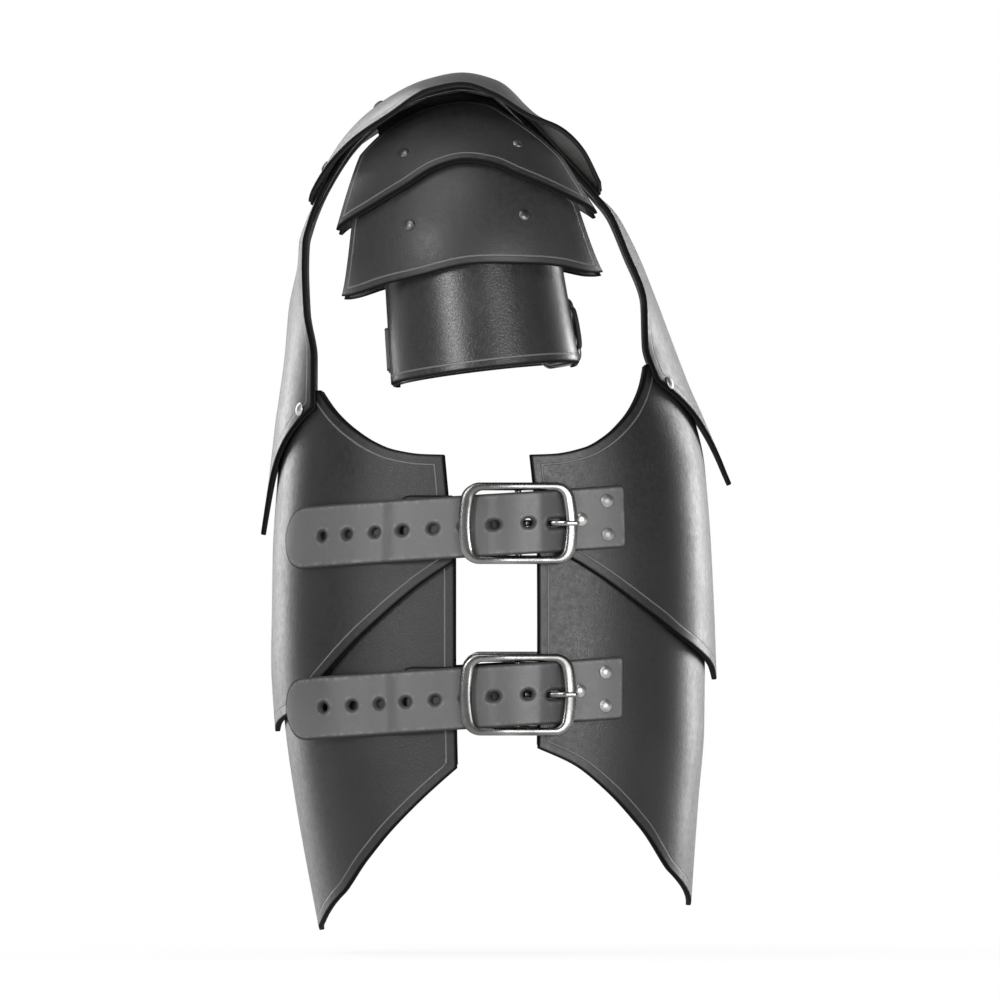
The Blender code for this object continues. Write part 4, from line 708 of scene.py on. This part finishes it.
def prong(name, surface, size, shares):
    """Flat tongue from its eye on the centre bar to its rest on the back bar, narrowing to the tip."""
    half = size.flat / 2
    tilt = (size.front - size.back) / (size.length - size.end_bar)
    rest = size.back + (size.thickness + size.end_bar * tilt) / 2 + half + size.seat
    eye = size.bar + 0.0002 + half
    table = [(eye / size.prong * 0.9, 0.0)] + [pair for pair in shares if pair[0] * size.prong > eye * 1.05]
    share = np.linspace(table[0][0], 1, 40)
    along, rise = share * size.prong, mix(size.height, rest, eased(table, share))
    slope = np.gradient(rise) / np.gradient(along)
    normal = np.stack((-slope, np.ones_like(slope)), axis=1) / np.hypot(slope, 1)[:, None]
    end = np.sqrt(np.clip((1 - share) / 0.045, 0, 1))
    end = np.where(share > 0.955, 0.35 + 0.65 * end, 1)[:, None]
    section = super_section(24, 3.4)[None]
    wide = mix(size.root, size.tip, share)[:, None] / 2 * end * section[..., 0]
    thick = half * end * section[..., 1]
    tongue = points_at(along[:, None] + normal[:, :1] * thick, wide, rise[:, None] + normal[:, 1:] * thick)
    angle = np.linspace(0, 2 * math.pi, 40, endpoint=False)[:, None]
    radius = eye + half * section[..., 1]
    loop = points_at(radius * np.cos(angle), size.root / 2 * section[..., 0], size.height + radius * np.sin(angle))
    return joined(name, [on_surface(tube(tongue, False), surface), on_surface(tube(loop, True), surface)],
                  buckle_steel)


def fit_buckle(name, body, surface, size, shares):
    """Buckle and prong of a strap, on both sides of the armour."""
    on_both_sides(buckle(f"{name}_buckle_frame", surface, size), body, "antique_steel", f"{name}_buckle")
    on_both_sides(prong(f"{name}_buckle_prong", surface, size, shares), f"{name}_prong_body", "antique_steel",
                  f"{name}_prong")


def bend_piece(piece, surface):
    """Lay a flat piece on a surface: its x runs along, its y across, and its z off it."""
    points = points_of(piece.data).astype(float)
    piece.data.vertices.foreach_set("co", surface(*points.T).astype(np.float32).ravel())
    piece.data.update()
    return piece


def path_normals(path):
    """Unit normals on the left of a path in a plane."""
    slope = np.gradient(path, axis=0)
    return unit(np.stack((-slope[:, 1], slope[:, 0]), axis=1))


def refined(path, step=0.0006):
    """Path through points by a centripetal cubic, in even steps of length."""
    run = run_along(path)
    fine = np.linspace(0, run[-1], int(run[-1] / step))
    return np.stack([eased(np.stack((run, path[:, axis]), axis=1), fine) for axis in (0, 1)], axis=1)


def folded(under, bar_height, bend, length, end_height, steps):
    """Mid-line of a leather loop, as place and height: its under part, the fold round the bar, the return on top."""
    turn = np.linspace(-math.pi / 2, math.pi / 2, steps)[:, None]
    fold = np.concatenate((bend * np.cos(turn), bar_height + bend * np.sin(turn)), axis=1)
    return np.concatenate((under, fold, [(-length * share, mix(bar_height + bend, end_height, fall))
                                         for share, fall in ((0.22, 0.3), (0.42, 0.85), (0.6, 1.0), (1.0, 1.0))]))


def loop_sheet(name, path, widths, leather, slit, bar_height, surface):
    """Folded leather that follows its mid-line, left open over the bar for the prong."""
    fine = refined(path)
    normal = path_normals(fine)
    outward = np.sign((normal * (fine - (0, bar_height))).sum())
    base = fine - outward * normal * leather / 2
    half = eased(widths, fine[:, 0])[:, None] / 2
    across = np.unique(np.round(np.concatenate((crowded(20, 0.04) * 2 - 1, (-0.22, -0.2, 0.2, 0.22))), 5))[None, :]
    grid = points_at(base[:, :1], half * across, base[:, 1:])
    near = np.abs(grid[:-1, :-1, 0] + 0.0005) < slit
    thin = np.abs(mix(across[:, :-1], across[:, 1:], 0.5)) < 0.2
    sheet = leather_sheet(name, grid, leather, (0, 0, bar_height), loop_look, kept=~(near & thin), rounding=0.0006,
                          flesh=0.0)
    return bend_piece(sheet, surface)


PRONG_SHARES = ((0.09, -0.03), (0.23, -0.12), (0.48, -0.07), (0.6, 0.25), (0.72, 0.78), (0.79, 1), (1, 1.04))
LOOP_LEATHER = 0.0025
LOOP_LOW = 0.0003 + LOOP_LEATHER / 2
LOOP_WIDTHS = ((-0.072, 0.0325), (-0.070, 0.0355), (-0.066, 0.0365), (-0.042, 0.0365), (-0.0385, 0.034),
               (0.02, 0.034))
LOOP_PATH = folded(
    [*((place, LOOP_LOW) for place in (-0.072, -0.06, -0.042, -0.03, -0.0175)), (-0.00875, LOOP_LOW + 0.00003)],
    SIDE_BUCKLE.height, bend=0.0026 + LOOP_LEATHER / 2, length=0.0175, end_height=LOOP_LOW + 0.0028, steps=14)
LOOP_RIVET_SPREAD = 0.0085
BAR_PLACE = 0.0172
STRAPS = (("upper", 0.2769, 0.0075), ("lower", 0.3890, LEATHER))


def strap_surface(drop, base, slope):
    """Body form by distance from the centre bar, distance up and height, along a line that climbs to the back."""
    return lambda along, across, lift: around(QUARTER + BAR_PLACE + along, across + along * slope - drop, base + lift)


for level, drop, base in STRAPS:
    surface = strap_surface(drop, base, 0)
    loop = loop_sheet(f"left_{level}_buckle_loop", LOOP_PATH, LOOP_WIDTHS, LOOP_LEATHER, 0.0085, SIDE_BUCKLE.height,
                      surface)
    on_both_sides(loop, "breastplate", "strap_leather", f"left_{level}_chape")
    head = LOOP_LOW + 0.0004
    profile = ((0.0002, head), (0.0016, head)) + rivet_tail(-base - 0.0011, 0.0009)
    rivets(f"left_{level}_loop_rivets", profile,
           [frame_on(surface, -0.057, across, 0) for across in (-LOOP_RIVET_SPREAD, LOOP_RIVET_SPREAD)], rivet_steel,
           "breastplate")
    fit_buckle(f"left_{level}", "breastplate", surface, SIDE_BUCKLE, PRONG_SHARES)

# The side straps' billets: 40 mm strap leather with a rounded tip and punched holes 19 mm apart. Each comes from
# three rivets on the back plate, passes under the frame and over its bar, and lies along the chest.
BILLET_TIP, BILLET_END = -0.166, 0.069
BILLET_LIFTS = ((BILLET_TIP, 0.0003), (-0.085, 0.0003), (-0.074, 0.0031), (-0.028, 0.0031), (-0.012, 0.0096),
                (0.0, 0.0107), (0.011, 0.0099), (0.016, 0.0073), (0.021, 0.0043), (0.026, 0.0012), (0.030, 0.0003),
                (BILLET_END, 0.0003))
LOWER_LIFTS = ((BILLET_TIP, 0.0062), (-0.150, 0.0058), (-0.125, 0.0052), (-0.105, 0.0012),
               (-0.095, 0.0003)) + BILLET_LIFTS[1:]
CLIMB = math.tan(math.radians(3.8))
BILLET_LEATHER = 0.0032
HOLE_PITCH, HOLE_RADIUS = 0.0188, 0.0029
BAR_HOLE, BAR_HOLE_STRETCH = 0.0218, 0.0036
RIVET_PLACES = ((0.0395, 0), (0.0565, 0.011), (0.0565, -0.011))


def strap_outline(start, end, tip, half, tip_steps, steps, length):
    """Places along a strap and its half width there, with a rounded tip."""
    rounded = start + tip * (1 - np.cos(np.linspace(0.02, math.pi / 2, tip_steps)))
    along = np.concatenate((rounded, mix(rounded[-1], end, crowded(steps, length, False)[1:])))[None, :]
    return along, half * np.sqrt(1 - (1 - np.clip((along - start) / tip, 0, 1)) ** 2.2)


def flat_strap(name, along, half, thickness, holes, radius, rounding=0.0007):
    """Flat strap with rounded arrises, and punched holes with a slightly dished rim."""
    across = (crowded(30, 0.04) * 2 - 1)[:, None]
    grid = points_at(along, half * across, 0)
    strap = leather_sheet(name, grid, thickness, (0, 0, -0.1), strap_look, rounding=rounding)
    punches = []
    for centre_x, centre_y, stretch in holes:
        shell = turned(((radius, -0.001), (radius, thickness - 0.0007), (radius * 1.05, thickness - 0.0004),
                        (radius * 1.28, thickness + 0.0002), (radius * 1.28, thickness + 0.001)))
        long = np.sign(shell[0][:, :1]) * (1, 0, 0) * stretch
        punches.append((shell[0] + long + (centre_x, centre_y, 0), shell[1]))
    punch = joined(name + "_punch", punches, strap_look)
    cut = strap.modifiers.new("Holes", "BOOLEAN")
    cut.solver = "EXACT"
    cut.object = punch
    bpy.context.view_layer.update()
    made = bpy.data.meshes.new_from_object(strap.evaluated_get(bpy.context.evaluated_depsgraph_get()))
    strap.modifiers.clear()
    strap.data = made
    bpy.data.objects.remove(punch, do_unlink=True)
    points = points_of(made)
    edge = np.empty(len(points), np.float32)
    made.attributes["edge"].data.foreach_get("value", edge)
    for centre_x, centre_y, stretch in holes:
        gap = points[:, :2] - (centre_x, centre_y)
        gap[:, 0] = np.maximum(np.abs(gap[:, 0]) - stretch, 0)
        away = np.abs(np.linalg.norm(gap, axis=1) - radius)
        edge = np.where(away < 0.004, np.minimum(np.where(away < 0.002, 1, edge), away * 0.8), edge)
    made.attributes["edge"].data.foreach_set("value", edge)
    made.set_sharp_from_angle(angle=math.radians(55))
    return strap


def lifted(surface, lifts):
    """Surface that follows a table of heights, with thickness measured square to its slope."""
    def follow(along, across, lift):
        slope = (eased(lifts, along + 0.0005) - eased(lifts, along - 0.0005)) / 0.001
        steep = np.hypot(slope, 1)
        return surface(along - lift * slope / steep, across, eased(lifts, along) + lift / steep)
    return follow


for level, drop, base in STRAPS:
    surface = strap_surface(drop, base, CLIMB)
    lifts = BILLET_LIFTS if level == "upper" else LOWER_LIFTS
    along, half = strap_outline(BILLET_TIP, BILLET_END, tip=0.023, half=0.0204, tip_steps=22, steps=150, length=0.23)
    half -= 0.003 * (1 - np.sqrt(1 - np.clip((along - BILLET_END + 0.003) / 0.003, 0, 1) ** 2))
    holes = [(0.0048 - HOLE_PITCH * index, 0, 0) for index in range(8)] + [
        (BAR_HOLE, -BAR_HOLE * CLIMB, BAR_HOLE_STRETCH)]
    billet = flat_strap(f"left_{level}_strap", along, half, BILLET_LEATHER, holes, HOLE_RADIUS)
    bend_piece(billet, lifted(surface, lifts))
    on_both_sides(billet, "breastplate", "strap_leather", f"left_{level}_billet")
    rivets(f"left_{level}_strap_rivets", RIVET_DOME + rivet_tail(-base - BILLET_LEATHER - 0.0011),
           [frame_on(surface, *place, BILLET_LEATHER + 0.0004) for place in RIVET_PLACES], rivet_steel, "breastplate",
           *(f"left_{level}_billet_rivet_{number}" for number in (1, 2, 3)))

# The shoulder leathers: a broad soft leather under each shoulder. It hangs from under the yoke, carries both lames
# and the cuff on rivets, and is made in lengths that meet at the rivets.
PIVOT = (0.1505, -0.0125, -0.1085)
lining_look = leather("lining_leather", dye=(0.012, 0.012, 0.0118), worn=(0.028, 0.0275, 0.027),
                      flesh=(0.045, 0.043, 0.041), sheen_low=0.6, sheen_high=0.75, grain=1.5)
LEATHER_ARCH = ((3.0, 0.0830), (9.0, 0.0830), (20.0, 0.0848), (57.0, 0.0848), (64.0, 0.0900), (72.0, 0.0902),
                (80.0, 0.0904), (88.0, 0.1020))
LEATHER_ENDS = ((0.0, 24.0), (0.4, 20.0), (0.6, 9.0), (0.8, 3.0), (1.0, 3.0))
LEATHER_HALF = 0.052
LEATHER_TOP, LEATHER_FOOT = 88.0, 3.0
UPPER_RIVET, LOWER_RIVET = 47.5, 17.5
LEAN = math.radians(5.0)
ARCH_OUT = 0.014
LINING = 0.0019
ROOM_UNDER_YOKE = LINING + 0.0003


def shoulder(radius, angle, across):
    """Point by distance and angle about the lames' axis, which leans five degrees, and place along it."""
    out, up = radius * np.cos(angle), radius * np.sin(angle)
    return points_at(PIVOT[0] + out, PIVOT[1] + across * math.cos(LEAN) - up * math.sin(LEAN),
                     PIVOT[2] + across * math.sin(LEAN) + up * math.cos(LEAN))


def arched(arch, along, angle):
    """Point of a lame: its radius is the root of arch^2 - along^2, so it is round both ways."""
    return shoulder(ARCH_OUT + np.sqrt(arch ** 2 - along ** 2), angle, along)


def yoke_line(gap):
    """Profile of the yoke over the shoulder, offset by a gap, as y and z from front to back."""
    line = sized(np.array(YOKE_ROWS)[:, :3])[:, 1:]
    return line + path_normals(line) * gap


roof = yoke_line(-0.0009)
tail = (0.46, 1.0)
for part, high, low, reach in ((0, LEATHER_TOP, UPPER_RIVET, (-1.0, 1.0)),
                               (1, UPPER_RIVET, LOWER_RIVET, (-1.0, 1.0)),
                               (2, LOWER_RIVET, LEATHER_FOOT, tail),
                               (2, LOWER_RIVET, LEATHER_FOOT, (-1.0, -tail[0]))):
    place = mix(*reach, crowded(60, 0.104))[None, :]
    foot = np.maximum(low, eased(LEATHER_ENDS, np.abs(place)))
    angle = np.radians(mix(foot, high, crowded(30, 0.06)[:, None]))
    along = place * LEATHER_HALF + 0 * angle
    grid = arched(eased(LEATHER_ARCH, np.degrees(angle)), along, angle)
    grid[..., 2] = np.minimum(grid[..., 2], np.interp(grid[..., 1], roof[:, 0], roof[:, 1]) - ROOM_UNDER_YOKE)
    name = f"left_leather_{part + 1}{'' if part < 2 else '_front' if reach[0] < 0 else '_back'}"
    strip = leather_sheet(name, grid, LINING, PIVOT, lining_look, rounding=0.0005)
    ends = [shoulder(0.098, math.radians(turn), sum(reach) / 2 * LEATHER_HALF) for turn in (high - 2, low + 2)]
    for piece, side, mirror in ((mirrored(strip), "right", -1), (strip, "left", 1)):
        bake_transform(piece)
        if part == 0:
            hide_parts(f"{side}_shoulder_leather")

# The cuff: a tapered band of plate leather round the upper arm, open on the inside.
# The arm strap comes through a slot near its front edge.
CUFF_RADIUS, CUFF_TOP_RADIUS = 0.0585, 0.0535
CUFF_HEIGHT = 0.088
CUFF_PLACE = (0.1955, -0.0030, -0.1795)
CUFF_TILT = np.array(Matrix.Rotation(math.radians(-3.5), 3, "Y") @ Matrix.Rotation(math.radians(6.7), 3, "X"))
STRAP_RISE = 0.024
SLOT_HALF = np.array((0.0045, 0.015))


def cuff_place(along, across, lift):
    """Point of the cuff's cone by distance round it, distance up from its hem, and height over its inside."""
    along, across, lift = np.broadcast_arrays(*(np.asarray(value, float) for value in (along, across, lift)))
    turn = along / CUFF_RADIUS
    radius = mix(CUFF_RADIUS, CUFF_TOP_RADIUS, across / CUFF_HEIGHT) + lift
    upright = points_at(radius * np.cos(turn), radius * np.sin(turn), across)
    return upright @ CUFF_TILT.T + CUFF_PLACE


def grid_places(places, cut):
    """Places for a grid that also has lines on both sides of a cut."""
    return np.unique(np.concatenate((places, cut)))


def in_cut(places, centre, half):
    """Which steps between neighbouring places lie in a cut."""
    return np.abs(mix(places[:-1], places[1:], 0.5) - centre) < half


reach = CUFF_RADIUS * math.radians(105)
slot = -CUFF_RADIUS * math.radians(95)
along = grid_places(crowded(90, 2 * reach) * 2 * reach - reach, slot + SLOT_HALF[0] * np.array((-1, 1)))
across = grid_places(crowded(36, CUFF_HEIGHT) * CUFF_HEIGHT, STRAP_RISE + SLOT_HALF[1] * np.array((-1, 1)))
grid = cuff_place(along[None, :], across[:, None], 0)
inside = in_cut(along, slot, SLOT_HALF[0])[None, :] & in_cut(across, STRAP_RISE, SLOT_HALF[1])[:, None]
cuff_look = leather("cuff_leather", dye=(0.014, 0.014, 0.0144), worn=(0.032, 0.032, 0.0328), flesh=FLESH,
                    sheen_low=0.27, sheen_high=0.36, groove_place=0.0052, wax=0.25)
cuff = leather_sheet("left_cuff_band", grid, LEATHER, (*CUFF_PLACE[:2], -0.14), cuff_look, kept=~inside)
on_both_sides(cuff, "left_cuff_body", "plate_leather", "left_arm_cuff")

# The arm strap: 28 mm leather looped in the cuff's slot. It passes under the arm to a small centre-bar buckle, which
# a leather loop holds inside the cuff's back edge.
ARM_BUCKLE = SimpleNamespace(
    length=0.0320, width=0.0430, end_bar=0.0040, side_bar=0.0040, thickness=0.0032, corner=0.0060, front=0.0105,
    back=0.0066, bar=0.0015, height=0.0044, prong=0.0166, root=0.0036, tip=0.0026, flat=0.0018, seat=0.0011, bow=0.05)
ARM_BAR_TURN = 128
ARM_TIP_TURN, ARM_END_TURN, ARM_SLOT_TURN = 94, 281, 265
ARM_PRONG_SHARES = ((0.09, 0), (0.3, 0), (0.45, 0.25), (0.6, 0.6), (0.75, 1), (1, 1.04))


def arm_place(along, across, lift):
    """Cuff's cone by distance from the arm buckle's bar, and distance up from the strap's middle."""
    return cuff_place(CUFF_RADIUS * math.radians(ARM_BAR_TURN) + along, STRAP_RISE + across, lift)


def arm_run(degrees):
    """Distance from the arm buckle's bar to an angle about the arm."""
    return CUFF_RADIUS * math.radians(degrees - ARM_BAR_TURN)


slot_run = arm_run(ARM_SLOT_TURN)
strap_end = arm_run(ARM_END_TURN)
ARM_LIFTS = ((-0.040, 0.0056), (-0.026, 0.0056), (-0.0115, 0.0052), (-0.003, 0.0090), (0.003, 0.0090),
             (0.0055, 0.0070), (0.0085, 0.0036), (0.0115, 0.0008), (0.015, 0.0), (0.080, 0.0),
             (slot_run - 0.0105, 0.0038), (slot_run - 0.0035, 0.0038), (slot_run + 0.0035, -0.0034),
             (strap_end, -0.0034))
along, half = strap_outline(arm_run(ARM_TIP_TURN), strap_end, tip=0.010, half=0.014, tip_steps=16, steps=190,
                            length=0.19)
arm_strap = flat_strap("left_arm_band", along, half, 0.0025, [(0.0088, 0, 0.002)], 0.0021)
bend_piece(arm_strap, lifted(arm_place, ARM_LIFTS))
on_both_sides(arm_strap, "left_cuff_body", "strap_leather", "left_arm_strap")

ARM_LOOP_LEATHER = 0.0016
inner_lift = -0.0009 - ARM_LOOP_LEATHER / 2
edge_run = arm_run(105)
path = folded([(-0.038, inner_lift), (edge_run * 1.3, inner_lift), (edge_run * 0.9, inner_lift),
               (edge_run * 0.6, 0.0008), (-0.0055, 0.0011)],
              ARM_BUCKLE.height, bend=ARM_BUCKLE.bar + 0.0006 + ARM_LOOP_LEATHER / 2, length=0.011,
              end_height=0.0030, steps=12)
arm_loop = loop_sheet("left_arm_loop", path, ((-0.038, 0.026), (0.02, 0.026)), ARM_LOOP_LEATHER, 0.0065,
                      ARM_BUCKLE.height, arm_place)
on_both_sides(arm_loop, "left_cuff_body", "strap_leather", "left_arm_chape")
ARM_RIVET = ((0.0002, 0.0049), (0.0024, 0.0047), (0.0034, 0.0043), (0.0036, 0.0038), (0.0016, 0.0038),
             (0.0016, inner_lift), (0.0002, inner_lift))
rivets("left_arm_loop_rivets", ARM_RIVET,
       [frame_on(arm_place, arm_run(98), across, 0) for across in (-LOOP_RIVET_SPREAD, LOOP_RIVET_SPREAD)],
       rivet_steel, "left_cuff_body")
fit_buckle("left_arm", "left_cuff_body", arm_place, ARM_BUCKLE, ARM_PRONG_SHARES)

# The lames: two arched plates on each shoulder, the upper over the lower, each riveted to the leather under it.
# Their hems fall to points before and behind. The rivets' heads are blackened.
BLACK = dict(dye=(0.010, 0.010, 0.0103), worn=(0.024, 0.024, 0.0246), flesh=FLESH, groove_place=0.0052)
lame_look = leather("lame_leather", sheen_low=0.42, sheen_high=0.56, **BLACK)
dark_steel = steel("dark_rivet", dark=(0.06, 0.06, 0.059), bright=(0.20, 0.197, 0.193), rough_low=0.3, rough_high=0.5)
UPPER_TOP = ((-1.0, 66.0), (-0.5, 73.0), (0.0, 76.0), (0.3, 73.0), (0.5, 65.0), (1.0, 50.0))
UPPER_HEM = ((-1.0, 31.0), (-0.7, 29.3), (-0.41, 31.8), (-0.16, 37.0), (0.0, 38.4), (0.19, 36.6), (0.36, 32.7),
             (0.54, 30.0), (0.72, 28.0), (1.0, 26.8))
LOWER_TOP = ((-1.0, 42.0), (0.0, 46.0), (0.5, 42.0), (1.0, 31.0))
LOWER_HEM = ((-1.0, -16.0), (-0.55, -5.2), (-0.32, -2.5), (0.0, 0.2), (0.4, -2.0), (0.56, -4.0), (0.83, -10.7),
             (1.0, -15.0))
LAME_RIVET = ((0.0002, 0.0017), (0.0014, 0.00164), (0.0026, 0.0013), (0.0034, 0.00085), (0.0038, 0.0004),
              (0.00385, 0.0), (0.0038, -0.0015), (0.0002, -0.0015))
LAME_RIVET_SPREAD = 0.0375
RIVET_RADIUS = 0.108


def lame_face(arch):
    """Face of a lame by place along its axis, distance round it, and height over its under face."""
    return lambda along, run, lift: arched(arch + lift, along, run / RIVET_RADIUS)


for level, arch, halves, top, hem, rivet_turn in (
        ("lower", 0.0885, (0.070, 0.083), LOWER_TOP, LOWER_HEM, LOWER_RIVET),
        ("upper", 0.094, (0.064, 0.083), UPPER_TOP, UPPER_HEM, UPPER_RIVET)):
    place = (crowded(84, 0.17) * 2 - 1)[None, :]
    rise = crowded(40, 0.08)[:, None]
    along = arch * np.sin(place * np.arcsin(mix(halves[1], halves[0], rise) / arch))
    angle = np.radians(mix(eased(hem, place), eased(top, place), rise))
    lame = leather_sheet(f"left_{level}_lame_plate", arched(arch, along, angle), LEATHER, PIVOT, lame_look)
    on_both_sides(lame, f"left_{level}_lame_body", "plate_leather", f"left_{level}_lame")
    over = RIVET_RADIUS * math.radians(rivet_turn)
    rivets(f"left_{level}_lame_rivets", LAME_RIVET,
           [frame_on(lame_face(arch), across, over, LEATHER) for across in (-LAME_RIVET_SPREAD, LAME_RIVET_SPREAD)],
           dark_steel, f"left_{level}_lame_body")

# The caps: one plate over the point of each shoulder, riveted to the yoke.
# Its rim arches over the upper lame and stands free of it.
CAP_RIM = ((0.905, -0.857, -0.480), (1.04, -0.775, -0.350), (1.17, -0.650, -0.215), (1.245, -0.480, -0.095),
           (1.28, -0.290, 0.030), (1.29, -0.135, 0.058), (1.28, 0.010, 0.010), (1.255, 0.175, -0.095),
           (1.22, 0.330, -0.160), (1.13, 0.440, -0.270), (0.960, 0.515, -0.430))
line = yoke_line(0.0045)
rim = sized(np.array(CAP_RIM))
rise = crowded(100, 0.26)[:, None]
rim_at = [eased(np.stack((np.linspace(0, 1, len(rim)), rim[:, axis]), axis=1), rise) for axis in range(3)]
line_run = run_along(line)
ends = np.interp(rim[[0, -1], 1], line[:, 0], line_run)
base_at = [eased(np.stack((line_run, line[:, axis]), axis=1), mix(*ends, rise)) for axis in (0, 1)]
share = crowded(50, 0.1)[None, :]
ease = np.clip((share - 0.55) / 0.45, 0, 1) ** 2
cap_grid = points_at(
    mix(YOKE_HALF * 0.66, rim_at[0], share), mix(base_at[0], rim_at[1], ease),
    mix(base_at[1], rim_at[2], ease) + 0.003 * np.sin(math.pi * rise) * (1 - ease))
CAP_MIDDLE = (0.14, 0, -0.2)
cap_look = leather("cap_leather", sheen_low=0.32, sheen_high=0.46, **BLACK)
cap = leather_sheet("left_cap_plate", cap_grid, LEATHER, CAP_MIDDLE, cap_look)
on_both_sides(cap, "breastplate", "plate_leather", "left_cap")
frames = []
for along_share in (0.1, 0.3):
    column, row = np.argmin(np.abs(share[0] - 1 / 3)), np.argmin(np.abs(rise[:, 0] - along_share))
    normal = off_face(cap_grid, CAP_MIDDLE)[row, column]
    x_axis = unit(np.cross((0, 1, 0), normal))
    frames.append(np.stack((x_axis, np.cross(normal, x_axis), normal, cap_grid[row, column] + normal * LEATHER)))
rivets("left_cap_rivets", LAME_RIVET, frames, dark_steel, "breastplate")

# The room: a white floor far below the hanging armour, a white surround, and soft panels for light. Two tall
# panels stand off to the sides, so that the leather's turning edges catch a bright line.
def soft_panel(name, place, size, power):
    """Rectangular lamp that looks at the middle of the armour."""
    data = bpy.data.lights.new(name, "AREA")
    data.shape = "RECTANGLE"
    data.size, data.size_y = size
    data.energy = power
    lamp = added(name, data)
    lamp.location = place
    lamp.rotation_euler = (Vector(VIEW_CENTRE) - Vector(place)).to_track_quat("-Z", "Y").to_euler()


soft_panel("key_panel", (1.5, -0.9, 2.2), (2.2, 1.6), 36)
soft_panel("fill_panel", (2.6, 1.3, -0.5), (1.3, 1.5), 66)
soft_panel("cuff_strip", (2.3, -1.55, 0.55), (0.75, 0.9), 34)
soft_panel("front_strip", (-1.7, -1.2, 0.4), (0.6, 3.0), 36)
soft_panel("back_strip", (-1.5, 1.35, -0.1), (0.5, 2.0), 32)

WHITE = (1, 1, 1, 1)
PALE = (0.9, 0.9, 0.9, 1)
floor_look, tree, shader = start_material("floor")
wire(shader, Base_Color=PALE, Roughness=0.9)
seen = tree.make("LightPath") + tree.make("LightPath", out="Is Glossy Ray")
away = tree.make("VectorMath", {"operation": "LENGTH"}, out=1, i0=tree.make("TexCoord", out=3))
show(tree.make("MixShader", i0=seen * (0.86 + 0.14 * away.ramp(0.3, 0.9)), i1=Value(tree.tree, shader.outputs[0]),
               i2=tree.make("Emission", Color=WHITE, Strength=1.0)))
floor_mesh = bpy.data.meshes.new("floor")
floor_mesh.from_pydata([(-6, -6, -0.56), (6, -6, -0.56), (6, 6, -0.56), (-6, 6, -0.56)], [], [(0, 1, 2, 3)])
floor_mesh.materials.append(floor_look)
floor = added("floor", floor_mesh)

world = bpy.data.worlds.new("white_room")
world.use_nodes = True
bpy.context.scene.world = world
tree = Value(world.node_tree, None)
direct, glossy, clear = (tree.make("LightPath", out=f"Is {kind} Ray")
                         for kind in ("Camera", "Glossy", "Transmission"))
behind = (tree.make("SeparateXYZ", i0=tree.make("TexCoord")) * -1.0).ramp(-0.25, 0.55)
show(tree.make("MixShader", i0=direct + clear + 0.35 * glossy * behind,
               i1=tree.make("Background", Color=PALE, Strength=0.13),
               i2=tree.make("Background", Color=WHITE, Strength=1.0)), "World Output")

bpy.context.scene.view_settings.view_transform = "Standard"
